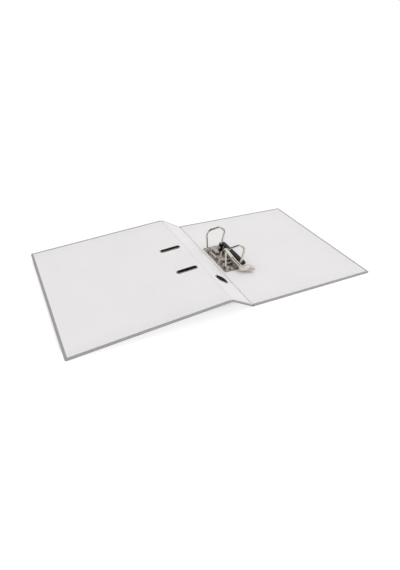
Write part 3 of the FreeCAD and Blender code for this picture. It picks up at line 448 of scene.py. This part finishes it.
# Mesh helpers
def newPiece(name, mesh, slotName):
    piece = bpy.data.objects.new(name, mesh)
    bpy.context.scene.collection.objects.link(piece)
    mesh.materials.clear()
    mesh.materials.append(materials[slotMaterials[slotName]])
    return piece


def meshFrom(name, points, faces):
    mesh = bpy.data.meshes.new(name)
    mesh.from_pydata(points, [], faces)
    mesh.validate()
    mesh.update()
    return mesh


def bakeModifiers(piece):
    evaluated = piece.evaluated_get(bpy.context.evaluated_depsgraph_get())
    mesh = bpy.data.meshes.new_from_object(evaluated)
    piece.modifiers.clear()
    old = piece.data
    piece.data = mesh
    bpy.data.meshes.remove(old)
    mesh.name = piece.name


def smoothByAngle(piece, degrees):
    mesh = piece.data
    mesh.polygons.foreach_set("use_smooth", [True] * len(mesh.polygons))
    mesh.set_sharp_from_angle(angle=math.radians(degrees))


def setAttribute(piece, name, rule):
    values = [rule(vertex.co) for vertex in piece.data.vertices]
    attribute = piece.data.attributes.new(name, "FLOAT", "POINT")
    attribute.data.foreach_set("value", values)


def cutWith(piece, cutters):
    for cutter in cutters:
        modifier = piece.modifiers.new("cut", "BOOLEAN")
        modifier.operation = "DIFFERENCE"
        modifier.solver = "EXACT"
        modifier.object = cutter
    bakeModifiers(piece)
    for cutter in cutters:
        mesh = cutter.data
        bpy.data.objects.remove(cutter)
        bpy.data.meshes.remove(mesh)


def smoothStep(value):
    value = min(1.0, max(0.0, value))
    return value * value * (3 - 2 * value)


# The covers. A place on them is (along, page, height). Along is measured from the back crease, positive on
# the back cover and negative up the spine and down the front cover. Height stands on the boards' underside.
creaseX, _, creaseZ = joints["spine_fold"]["pos_m"]
ridgeX, _, ridgeZ = joints["front_fold"]["pos_m"]
cover = {
    "length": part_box("back_wrap")[1].x - creaseX,
    "half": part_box("back_wrap")[1].y,
    "spine": math.hypot(ridgeX - creaseX, ridgeZ - creaseZ),
    "board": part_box("back_board")[1].z - creaseZ,
    "wrap": 0.25 * mm,
    "turnIn": cadHigh.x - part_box("back_lining")[1].x,
    "crease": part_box("back_wrap")[0].x - creaseX,
    "corner": 3 * mm,
    "round": 0.7 * mm,
    "paperStep": 0.12 * mm,
    "seam": -6.5 * mm,  # where the sheets are parted, low on the spine
    "marginUnderLap": 1.5 * mm,
    "backGroove": 1.62 * mm,
    "ridgeGroove": 1.2 * mm,
    "grooveSlack": 0.1 * mm,
    "grooveSlope": 1.2 * mm,
    "humpWidth": 1.3 * mm,
    "humpShare": 0.35,
    "stationStep": 24 * mm,
    "stationOffsets": [offset * mm for offset in (0, 0.4, 0.8, 1.1, 1.4, 1.7, 2.0, 2.3, 2.6, 3.0, 4.0)],
    "columns": 12,
    "edgeSteps": 4,
    "cornerSteps": 7,
    "weld": 0.001 * mm,
    "wrapWorn": 1.2 * mm,
    "liningWorn": 0.8 * mm,
    "blendReach": 0.85,
    "smoothAngle": 40,
}
spineTilt = math.atan2(ridgeZ - creaseZ, creaseX - ridgeX)
frontTilt = -math.asin((ridgeZ - creaseZ) / cover["length"])
frontEnd = -cover["spine"] - cover["length"]


def normalAt(tilt):
    return Vector((math.sin(tilt), 0, math.cos(tilt)))


def tangentAt(tilt):
    return Vector((math.cos(tilt), 0, -math.sin(tilt)))


creaseSpot = Vector((creaseX, 0, creaseZ))
ridgeSpot = Vector((ridgeX, 0, ridgeZ))
folds = [
    {"at": 0.0, "spot": creaseSpot, "left": spineTilt, "right": 0.0, "depth": cover["backGroove"]},
    {"at": -cover["spine"], "spot": ridgeSpot, "left": frontTilt, "right": spineTilt,
     "depth": cover["ridgeGroove"]},
]


def bentPlace(along):
    reach = cover["crease"]
    for fold in folds:
        if abs(along - fold["at"]) < reach:
            share = (along - fold["at"] + reach) / (2 * reach)
            turn = fold["right"] - fold["left"]
            radius = math.copysign(reach / math.tan(abs(turn) / 2), turn)
            centre = fold["spot"] - tangentAt(fold["left"]) * reach - normalAt(fold["left"]) * radius
            tilt = fold["left"] + turn * share
            return centre + normalAt(tilt) * radius, tilt
    if along > 0:
        return creaseSpot + tangentAt(0.0) * along, 0.0
    if along > -cover["spine"]:
        return creaseSpot + tangentAt(spineTilt) * along, spineTilt
    return ridgeSpot + tangentAt(frontTilt) * (along + cover["spine"]), frontTilt


def onCover(along, page, height):
    spot, tilt = bentPlace(along)
    return spot + normalAt(tilt) * height + Vector((0, page, 0))


# A crease is pressed in from both sides, with a low hump left between the two lines.
def grooveShare(distance):
    reach = cover["crease"]
    pressed = smoothStep((reach + cover["grooveSlack"] - distance) / cover["grooveSlope"])
    hump = smoothStep(1 - distance / cover["humpWidth"])
    return pressed * (1 - cover["humpShare"] * hump)


def grooveDepth(along):
    return sum(fold["depth"] * grooveShare(abs(along - fold["at"])) for fold in folds)


def liningTop(along):
    return cover["board"] + cover["wrap"] + cover["paperStep"] - grooveDepth(along)


def stationsOver(low, high):
    spots = {low, high}
    for fold in folds:
        for offset in cover["stationOffsets"]:
            spots.update((fold["at"] - offset, fold["at"] + offset))
    step = cover["stationStep"]
    spots.update(low + step * number for number in range(1, int((high - low) / step)))
    return sorted(spot for spot in spots if low <= spot <= high)


# How far a point lies in a pressed crease; the papers use it to paint shade into the creases.
def creaseShadeMask(point):
    distances = [math.hypot(point.x - fold["spot"].x, point.z - fold["spot"].z) for fold in folds]
    return max(grooveShare(distance) for distance in distances)


# The lining is one sheet, parted low on the spine so that each half bends at one crease.
def makeLining(name, low, high):
    half = cover["half"] - cover["turnIn"]
    columns = cover["columns"]
    pages = [half * (2 * number / columns - 1) for number in range(columns + 1)]
    stations = stationsOver(low, high)
    points, faces = [], []
    for lower in (0.0, cover["wrap"]):
        for along in stations:
            points += [onCover(along, page, liningTop(along) - lower) for page in pages]
    width, layer = len(pages), len(pages) * len(stations)
    for row in range(len(stations) - 1):
        for column in range(width - 1):
            first = row * width + column
            quad = [first, first + width, first + width + 1, first + 1]
            faces += [quad, [corner + layer for corner in reversed(quad)]]
    rim = [row * width for row in range(len(stations))]
    rim += [(len(stations) - 1) * width + column for column in range(1, width)]
    rim += [row * width + width - 1 for row in range(len(stations) - 2, -1, -1)]
    rim += list(range(width - 2, 0, -1))
    faces += [[here, there, there + layer, here + layer] for here, there in zip(rim[1:] + rim[:1], rim)]
    return newPiece(name, meshFrom(name, points, faces), "white_lining")


# The wrap is a shell round the boards' edges. Each ring of it goes from the turned-in flap, over the edge,
# to the outside.
def ringProfile(along):
    top = cover["board"] + cover["wrap"] - grooveDepth(along)
    bottom = -cover["wrap"]
    size = min(cover["round"], (top - bottom) / 2)
    steps = cover["edgeSteps"]
    profile = []
    for turn in range(steps + 1):
        angle = math.pi / 2 * turn / steps
        profile.append((size * (1 - math.sin(angle)), top - size * (1 - math.cos(angle))))
    for turn in range(steps + 1):
        angle = math.pi / 2 * turn / steps
        profile.append((size * (1 - math.cos(angle)), bottom + size * (1 - math.sin(angle))))
    return top, bottom, profile


# Half of a wrap's rim, up to its free edge, as (along, page, outward along, outward page)
def wrapSide(openAlong, freeAlong):
    half, corner, steps = cover["half"], cover["corner"], cover["cornerSteps"]
    outward = math.copysign(1, freeAlong - openAlong)
    stations = stationsOver(*sorted((openAlong, freeAlong - outward * corner)))
    if outward < 0:
        stations.reverse()
    side = [(along, half, 0.0, 1.0) for along in stations]
    for turn in range(1, steps):
        angle = math.pi / 2 * turn / steps
        side.append((freeAlong - outward * corner * (1 - math.sin(angle)),
                     half - corner * (1 - math.cos(angle)),
                     outward * math.sin(angle), math.cos(angle)))
    side.append((freeAlong, half - corner, outward, 0.0))
    return side


def wrapRing(along, page, across, up, openAlong, freeAlong):
    inner = cover["turnIn"] + cover["marginUnderLap"]
    if freeAlong > openAlong:
        flapAlong = min(along, freeAlong - inner)
    else:
        flapAlong = max(along, freeAlong + inner)
    flapPage = max(inner - cover["half"], min(cover["half"] - inner, page))
    top, bottom, profile = ringProfile(along)
    edge = [onCover(along - across * inset, page - up * inset, height) for inset, height in profile]
    return [onCover(flapAlong, flapPage, top)] + edge + [onCover(flapAlong, flapPage, bottom)]


# Merges the points that coincide on the flaps at the corners, and turns every face outwards.
def closeShell(mesh):
    shell = bmesh.new()
    shell.from_mesh(mesh)
    bmesh.ops.remove_doubles(shell, verts=shell.verts, dist=cover["weld"])
    bmesh.ops.recalc_face_normals(shell, faces=shell.faces)
    outside = max(shell.faces, key=lambda face: face.calc_area())
    if outside.normal.z > 0:
        bmesh.ops.reverse_faces(shell, faces=shell.faces)
    shell.to_mesh(mesh)
    shell.free()


def makeWrap(name, openAlong, freeAlong):
    side = wrapSide(openAlong, freeAlong)
    path = side + [(along, -page, across, -up) for along, page, across, up in reversed(side)]
    rings = [wrapRing(*spot, openAlong, freeAlong) for spot in path]
    width, count = len(rings[0]), len(rings)
    points = [point for ring in rings for point in ring]
    faces = []
    for ring in range(count - 1):
        for spot in range(width - 1):
            first = ring * width + spot
            faces.append([first, first + 1, first + width + 1, first + width])
    for ring in range(len(side) - 1):
        other = count - 1 - ring
        faces.append([(ring + 1) * width - 1, (other + 1) * width - 1,
                      other * width - 1, (ring + 2) * width - 1])
    mesh = meshFrom(name, points, faces)
    closeShell(mesh)
    piece = newPiece(name, mesh, "grey_wrap")
    thick = piece.modifiers.new("paper", "SOLIDIFY")
    thick.thickness = cover["wrap"]
    thick.offset = -1
    bakeModifiers(piece)
    return piece


# Outlines on the covers, as (along, page, outward along, outward page)
def outlineSpot(along, page, radius, turn):
    across, up = math.cos(turn), math.sin(turn)
    return along + radius * across, page + radius * up, across, up


def circleOutline(along, page, radius, count):
    return [outlineSpot(along, page, radius, 2 * math.pi * number / count) for number in range(count)]


def slotOutline(low, high, page, radius, count):
    return [outlineSpot(end, page, radius, start + math.pi * number / count)
            for end, start in ((high - radius, -math.pi / 2), (low + radius, math.pi / 2))
            for number in range(count + 1)]


def prismThrough(name, outline, low, high):
    points = [onCover(along, page, height) for height in (low, high) for along, page, _, _ in outline]
    count = len(outline)
    faces = [list(reversed(range(count))), list(range(count, 2 * count))]
    for spot in range(count):
        following = (spot + 1) % count
        faces.append([spot, following, following + count, spot + count])
    cutter = bpy.data.objects.new(name, meshFrom(name, points, faces))
    bpy.context.scene.collection.objects.link(cutter)
    return cutter


def makeEyelet(name, outlines, profile, slotName):
    points, faces = [], []
    for outline in outlines:
        start, width = len(points), len(profile)
        for along, page, across, up in outline:
            points += [onCover(along + across * offset * mm, page + up * offset * mm, height * mm)
                       for offset, height in profile]
        count = len(outline)
        for ring in range(count):
            for spot in range(width):
                here, there = ring * width, (ring + 1) % count * width
                following = (spot + 1) % width
                faces.append([start + here + spot, start + here + following,
                              start + there + following, start + there + spot])
    mesh = meshFrom(name, points, faces)
    shell = bmesh.new()
    shell.from_mesh(mesh)
    bmesh.ops.recalc_face_normals(shell, faces=shell.faces)
    shell.to_mesh(mesh)
    shell.free()
    return newPiece(name, mesh, slotName)


slots = {"start": 9.4 * mm, "length": 41.6 * mm, "width": 8.4 * mm, "spacing": 80 * mm, "steps": 16}
finger = {"radius": 12 * mm, "page": -80 * mm, "steps": 72}
slotHigh = -cover["spine"] - slots["start"]
slotLow = slotHigh - slots["length"]
slotOutlines = [
    slotOutline(slotLow, slotHigh, side * slots["spacing"] / 2, slots["width"] / 2, slots["steps"])
    for side in (-1, 1)]
fingerOutline = circleOutline(-cover["spine"] / 2, finger["page"], finger["radius"], finger["steps"])
through = {"low": -1.5 * mm, "high": 4 * mm}


def openingCutters():
    outlines = slotOutlines + [fingerOutline]
    return [prismThrough("cutter", outline, through["low"], through["high"]) for outline in outlines]


def blendAcross(piece):
    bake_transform(piece)


liningBack = makeLining("liningBack", cover["seam"], cover["length"] - cover["turnIn"])
liningFront = makeLining("liningFront", frontEnd + cover["turnIn"], cover["seam"])
cutWith(liningFront, openingCutters())
wrapBack = makeWrap("wrapBack", cover["seam"], cover["length"])
wrapFront = makeWrap("wrapFront", cover["seam"], frontEnd)
cutWith(wrapFront, openingCutters())


def edgeOfWrap(point):
    fromPage = cover["half"] - abs(point.y)
    fromBack = cadHigh.x - point.x
    fromFront = point.x - cadLow.x
    return smoothStep(1 - min(fromPage, fromBack, fromFront) / cover["wrapWorn"])


def edgeOfLining(point):
    inset = cover["turnIn"]
    fromPage = cover["half"] - inset - abs(point.y)
    fromBack = cadHigh.x - inset - point.x
    return smoothStep(1 - min(fromPage, fromBack) / cover["liningWorn"])


# Each sheet carries "fold", where shade is painted into the creases, and "edge", where it is worn.
for piece, edgeRule in ((liningBack, edgeOfLining), (liningFront, edgeOfLining),
                        (wrapBack, edgeOfWrap), (wrapFront, edgeOfWrap)):
    setAttribute(piece, "fold", creaseShadeMask)
    setAttribute(piece, "edge", edgeRule)
    smoothByAngle(piece, cover["smoothAngle"])
for piece, stoodFor in ((liningBack, ["back_lining"]), (wrapBack, ["back_wrap", "back_crease"])):
    blendAcross(piece)
    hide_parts(*stoodFor)
for piece, stoodFor in ((liningFront, ["front_lining", "spine_lining"]),
                        (wrapFront, ["front_wrap", "spine_wrap", "front_crease"])):
    blendAcross(piece)
    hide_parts(*stoodFor)
print("covers made")


# Eyelets and finger ring: a rolled lip on the inside and a wall through the board. The ring has a flange
# on the outside as well. A section goes once round, as (distance outwards from the wall, height), in mm.
eyelets = {
    "slotSection": [
        (-0.50, -0.25), (-0.50, 1.60), (-0.47, 2.20), (-0.34, 2.45), (-0.08, 2.62), (0.35, 2.70),
        (0.90, 2.66), (1.35, 2.50), (1.58, 2.28), (1.60, 2.12), (1.30, 2.14), (0.60, 2.18),
        (0.05, 2.10), (0.0, 1.90), (0.0, -0.25),
    ],
    "fingerSection": [
        (-0.80, -0.30), (-0.80, 1.90), (-0.74, 2.30), (-0.52, 2.58), (-0.10, 2.74), (0.60, 2.80),
        (1.40, 2.72), (1.95, 2.52), (2.20, 2.26), (2.18, 2.10), (1.40, 2.14), (0.20, 2.12),
        (0.0, 1.90), (0.0, -0.10), (0.20, -0.25), (1.50, -0.25), (2.15, -0.27), (2.20, -0.40),
        (2.05, -0.62), (1.40, -0.74), (0.30, -0.74), (-0.50, -0.64),
    ],
    "smoothAngle": 50,
}
slotEyelets = makeEyelet("slotEyelets", slotOutlines, eyelets["slotSection"], "eyelet_steel")
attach(slotEyelets, "front_cover")
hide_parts("slot_eyelets")
fingerRing = makeEyelet("fingerRing", [fingerOutline], eyelets["fingerSection"], "eyelet_steel")
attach(fingerRing, "spine")
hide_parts("finger_ring")
for piece in (slotEyelets, fingerRing):
    smoothByAngle(piece, eyelets["smoothAngle"])
print("eyelets made")


# Pieces with the CAD node's form and their edges rounded, as pressed or moulded edges are. Each row has the
# node, the name, the body, the slot and the rounding in mm.
soften = {"segments": 2, "sharp": 32, "smoothAngle": 38, "flat": 1, "weld": 0.001 * mm}
softened = [
    ("base_plate", "basePlate", "back_cover", "nickel_sheet", 0.22),
    ("lever_bracket", "leverBracket", "back_cover", "nickel_sheet", 0.15),
    ("lever_pin", "leverPin", "back_cover", "nickel_wire", 0.15),
    ("post_bottom", "postFoot", "back_cover", "nickel_wire", 0.2),
    ("post_top", "postHead", "back_cover", "nickel_wire", 0.2),
    ("lever", "leverArm", "lever", "nickel_sheet", 0.25),
    ("roller_pin", "rollerPin", "lever", "nickel_wire", 0.1),
    ("roller", "rollerWheel", "roller", "roller_plastic", 0.25),
    ("compressor_bar", "compressorBar", "compressor_bar", "black_plastic", 0.5),
    ("thumb_tab", "thumbTab", "lever", "grey_plastic", 0.1),
]


def makeSoftened(nodeName, pieceName, body, slotName, width):
    solid = bmesh.new()
    solid.from_mesh(nodes[nodeName].data)
    bmesh.ops.remove_doubles(solid, verts=solid.verts, dist=soften["weld"])
    bmesh.ops.dissolve_limit(solid, angle_limit=math.radians(soften["flat"]), verts=solid.verts,
                             edges=solid.edges)
    sharp = math.radians(soften["sharp"])
    edges = [edge for edge in solid.edges if edge.is_manifold and edge.calc_face_angle(0) > sharp]
    worn = solid.verts.layers.float.new("edge")
    made = bmesh.ops.bevel(solid, geom=edges, offset=width * mm, offset_type="OFFSET",
                           segments=soften["segments"], profile=0.5, affect="EDGES", clamp_overlap=True)
    for face in made["faces"]:
        for vertex in face.verts:
            vertex[worn] = 1.0
    mesh = bpy.data.meshes.new(pieceName)
    solid.to_mesh(mesh)
    solid.free()
    piece = newPiece(pieceName, mesh, slotName)
    smoothByAngle(piece, soften["smoothAngle"])
    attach(piece, body)
    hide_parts(nodeName)
    return piece


softPieces = {row[1]: makeSoftened(*row) for row in softened}
softPieces["leverArm"].data.materials[0] = materials["leverSheet"]  # satin, lighter than the plate
print("mechanism made")


# Geometry Nodes: a tree with named inputs, run on a mesh and kept as a plain mesh.
def newTree(name, inputs):
    tree = bpy.data.node_groups.new(name, "GeometryNodeTree")
    tree.interface.new_socket("Geometry", in_out="INPUT", socket_type="NodeSocketGeometry")
    for label, (kind, value) in inputs.items():
        socket = tree.interface.new_socket(label, in_out="INPUT", socket_type=kind)
        if value is not None:
            socket.default_value = value
    tree.interface.new_socket("Geometry", in_out="OUTPUT", socket_type="NodeSocketGeometry")
    return tree, tree.nodes.new("NodeGroupInput").outputs


def closeTree(tree, geometry, material):
    real = addNode(tree, "GeometryNodeRealizeInstances", {"Geometry": geometry})
    smooth = addNode(tree, "GeometryNodeSetShadeSmooth", {"Geometry": real.outputs[0]})
    painted = addNode(tree, "GeometryNodeSetMaterial", {
        "Geometry": smooth.outputs[0], "Material": material})
    tree.links.new(painted.outputs[0], tree.nodes.new("NodeGroupOutput").inputs["Geometry"])


def runTree(tree, name, points, slotName, body, **values):
    mesh = bpy.data.meshes.new(name)
    mesh.from_pydata(points, [], [])
    piece = newPiece(name, mesh, slotName)
    modifier = piece.modifiers.new("made", "NODES")
    modifier.node_group = tree
    identifiers = {
        item.name: item.identifier for item in tree.interface.items_tree if item.in_out == "INPUT"}
    values["Material"] = materials[slotMaterials[slotName]]
    for label, value in values.items():
        modifier[identifiers[label]] = value
    bakeModifiers(piece)
    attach(piece, body)
    return piece


def scaledBall(tree, segments, rings, across, along, height):
    size = addNode(tree, "ShaderNodeCombineXYZ", {"X": across, "Y": along, "Z": height})
    ball = addNode(tree, "GeometryNodeMeshUVSphere", {"Segments": segments, "Rings": rings, "Radius": 1.0})
    return addNode(tree, "GeometryNodeTransform", {
        "Geometry": ball.outputs["Mesh"], "Scale": size.outputs[0]}).outputs[0]


def placedOn(tree, points, instance, **turned):
    return addNode(tree, "GeometryNodeInstanceOnPoints", {
        "Points": points, "Instance": instance, **turned}).outputs[0]


def makeDomeTree():
    tree, given = newTree("domedHeads", {
        "Radius": ("NodeSocketFloat", 0.003), "Height": ("NodeSocketFloat", 0.001),
        "Sides": ("NodeSocketInt", 32), "Rings": ("NodeSocketInt", 16),
        "Material": ("NodeSocketMaterial", None)})
    radius = given["Radius"]
    dome = scaledBall(tree, given["Sides"], given["Rings"], radius, radius, given["Height"])
    closeTree(tree, placedOn(tree, given["Geometry"], dome), given["Material"])
    return tree


def makeRibTree():
    tree, given = newTree("gripRibs", {
        "Count": ("NodeSocketInt", 5), "Step": ("NodeSocketVector", (0, 0.002, 0)),
        "Length": ("NodeSocketFloat", 0.003), "Width": ("NodeSocketFloat", 0.0005),
        "Height": ("NodeSocketFloat", 0.0004), "Turn": ("NodeSocketVector", (0, 0, 0)),
        "Sides": ("NodeSocketInt", 20), "Rings": ("NodeSocketInt", 12),
        "Material": ("NodeSocketMaterial", None)})
    rib = scaledBall(tree, given["Sides"], given["Rings"], given["Length"], given["Width"], given["Height"])
    row = addNode(tree, "GeometryNodeMeshLine", {"Count": given["Count"], "Offset": given["Step"]})
    each = placedOn(tree, row.outputs[0], rib, Rotation=given["Turn"])
    closeTree(tree, placedOn(tree, given["Geometry"], each), given["Material"])
    return tree


# Rounded heads over the rivets of the base plate
rivets = {
    "left": 20 * mm, "right": 47 * mm, "leftPage": 43 * mm, "rightPage": 27 * mm,
    "radius": 3.5 * mm, "height": 1.45 * mm,
}
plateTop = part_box("lever_bracket")[0].z
rivetSpots = [(creaseX + rivets[side], sign * rivets[side + "Page"], plateTop)
              for side in ("left", "right") for sign in (-1, 1)]
runTree(makeDomeTree(), "rivetHeads", rivetSpots, "nickel_sheet", "back_cover",
        Radius=rivets["radius"], Height=rivets["height"])

# Ribs moulded across the thumb tab
tab = {"turn": 22, "ribs": 5, "gap": 1.9 * mm, "length": 3.1 * mm, "width": 0.5 * mm, "height": 0.42 * mm}
tabLow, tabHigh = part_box("thumb_tab")
tabTurn = math.radians(tab["turn"])
tabAlong = Vector((math.sin(tabTurn), -math.cos(tabTurn), 0))
tabMiddle = (tabLow + tabHigh) / 2
tabMiddle.z = tabHigh.z
firstRib = tabMiddle - tabAlong * (tab["gap"] * (tab["ribs"] - 1) / 2)
runTree(makeRibTree(), "tabRibs", [firstRib], "grey_plastic", "lever", Count=tab["ribs"],
        Step=tabAlong * tab["gap"], Length=tab["length"], Width=tab["width"], Height=tab["height"],
        Turn=(0, 0, tabTurn))
print("rivets and ribs made")

# The floor is a pale sweep lit from within, except in a rectangle under the raised covers.
floorSettings = {
    "size": 40.0, "roughness": 0.9, "glow": 0.81, "sweep": (0.22, 0.22, 0.22),
    "quietMiddle": (-0.305, 0.0), "quietHalf": (0.155, 0.115), "quietEdge": 0.03,
    "light": (0.93, 0.93, 0.93), "dark": (0.90, 0.90, 0.90), "clouds": 3.0, "cloudDetail": 2.0,
}


def makeFloor(settings):
    half = settings["size"] / 2
    mesh = meshFrom("floor", [(-half, -half, 0), (half, -half, 0), (half, half, 0), (-half, half, 0)],
                    [[0, 1, 2, 3]])
    floor = bpy.data.objects.new("floor", mesh)
    bpy.context.scene.collection.objects.link(floor)
    material, tree, shader, place = startMaterial("floorPaper", settings["roughness"])
    shader.inputs["Specular IOR Level"].default_value = 0.0
    axes = addNode(tree, "ShaderNodeSeparateXYZ", {"Vector": place}).outputs
    outside = []
    for axis, middle, reach in zip("XY", settings["quietMiddle"], settings["quietHalf"]):
        away = addMath(tree, "ABSOLUTE", addMath(tree, "SUBTRACT", axes[axis], middle))
        outside.append(ease(tree, away, reach, reach + settings["quietEdge"]))
    sweep = addMath(tree, "MAXIMUM", *outside)
    clouds = addNoise(tree, place, settings["clouds"], settings["cloudDetail"])
    tone = mixColour(tree, clouds, settings["dark"], settings["light"])
    tree.links.new(mixColour(tree, sweep, tone, settings["sweep"]), shader.inputs["Base Color"])
    shader.inputs["Emission Color"].default_value = (1, 1, 1, 1)
    tree.links.new(scaled(tree, sweep, settings["glow"]), shader.inputs["Emission Strength"])
    mesh.materials.append(material)


makeFloor(floorSettings)

# The studio: soft panels left and right and a window behind, with dim warm walls between them. The metal
# mirrors them, and the camera itself sees plain white.
studio = {
    "below": (0.92, 0.92, 0.92), "belowEase": (-0.02, 0.0),
    "horizon": (0.66, 0.64, 0.61), "walls": (0.10, 0.08, 0.07), "wallsEase": (0.02, 0.2),
    "panel": (1.35, 1.35, 1.35), "panelSide": (0.52, 0.64), "panelHeight": (0.15, 0.27),
    "window": (1.0, 0.97, 0.93), "windowTowards": (0.39, 0.72, 0.57), "windowEase": (0.90, 0.96),
    "seen": (1.0, 1.0, 1.0),
}


def makeStudio(settings):
    world = bpy.data.worlds.new("studio")
    bpy.context.scene.world = world
    world.use_nodes = True
    sky = world.node_tree
    sky.nodes.clear()
    towards = addNode(sky, "ShaderNodeTexCoord").outputs["Generated"]
    axes = addNode(sky, "ShaderNodeSeparateXYZ", {"Vector": towards}).outputs
    sideways = ease(sky, addMath(sky, "ABSOLUTE", axes["X"]), *settings["panelSide"])
    panels = addMath(sky, "MULTIPLY", sideways, ease(sky, axes["Z"], *settings["panelHeight"]))
    facingWindow = addNode(sky, "ShaderNodeVectorMath", {0: towards, 1: settings["windowTowards"]},
                           operation="DOT_PRODUCT").outputs["Value"]
    window = ease(sky, facingWindow, *settings["windowEase"])
    aboveHorizon = ease(sky, axes["Z"], *settings["wallsEase"])
    aboveFloor = ease(sky, axes["Z"], *settings["belowEase"])
    room = mixColour(sky, aboveHorizon, settings["horizon"], settings["walls"])
    room = mixColour(sky, aboveFloor, settings["below"], room)
    room = mixColour(sky, panels, room, settings["panel"])
    room = mixColour(sky, window, room, settings["window"])
    mirrored = addNode(sky, "ShaderNodeBackground", {"Color": room})
    seen = addNode(sky, "ShaderNodeBackground", {"Color": (*settings["seen"], 1)})
    rays = addNode(sky, "ShaderNodeLightPath")
    mixed = addNode(sky, "ShaderNodeMixShader", {
        "Fac": rays.outputs["Is Camera Ray"], 1: mirrored.outputs[0], 2: seen.outputs[0]})
    sky.links.new(mixed.outputs[0], sky.nodes.new("ShaderNodeOutputWorld").inputs["Surface"])


makeStudio(studio)

# One broad soft lamp overhead, which the metal doesn't mirror
lampSettings = {"towards": (-0.20, 0.05, -0.97), "power": 1.9, "angle": 70}
lamp = bpy.data.lights.new("softLamp", "SUN")
lamp.energy = lampSettings["power"]
lamp.angle = math.radians(lampSettings["angle"])
lampObject = bpy.data.objects.new("softLamp", lamp)
lampObject.rotation_mode = "QUATERNION"
lampObject.rotation_quaternion = Vector(lampSettings["towards"]).to_track_quat("-Z", "Y")
lampObject.visible_glossy = False
bpy.context.scene.collection.objects.link(lampObject)

cameraSettings = {
    "place": (-0.5009, -0.6051, 0.4488), "forward": (0.3944, 0.7073, -0.5867), "roll": 3.9, "lens": 25.6,
    "near": 0.01, "far": 100,
}
cameraData = bpy.data.cameras.new("camera")
cameraData.lens = cameraSettings["lens"]
cameraData.clip_start = cameraSettings["near"]
cameraData.clip_end = cameraSettings["far"]
camera = bpy.data.objects.new("camera", cameraData)
camera.location = cameraSettings["place"]
camera.rotation_mode = "QUATERNION"
facing = Vector(cameraSettings["forward"]).to_track_quat("-Z", "Y")
camera.rotation_quaternion = facing @ Quaternion((0, 0, 1), math.radians(cameraSettings["roll"]))
bpy.context.scene.collection.objects.link(camera)
bpy.context.scene.camera = camera
bpy.context.view_layer.update()
bpy.context.scene.view_settings.view_transform = "Standard"
print("stage set")
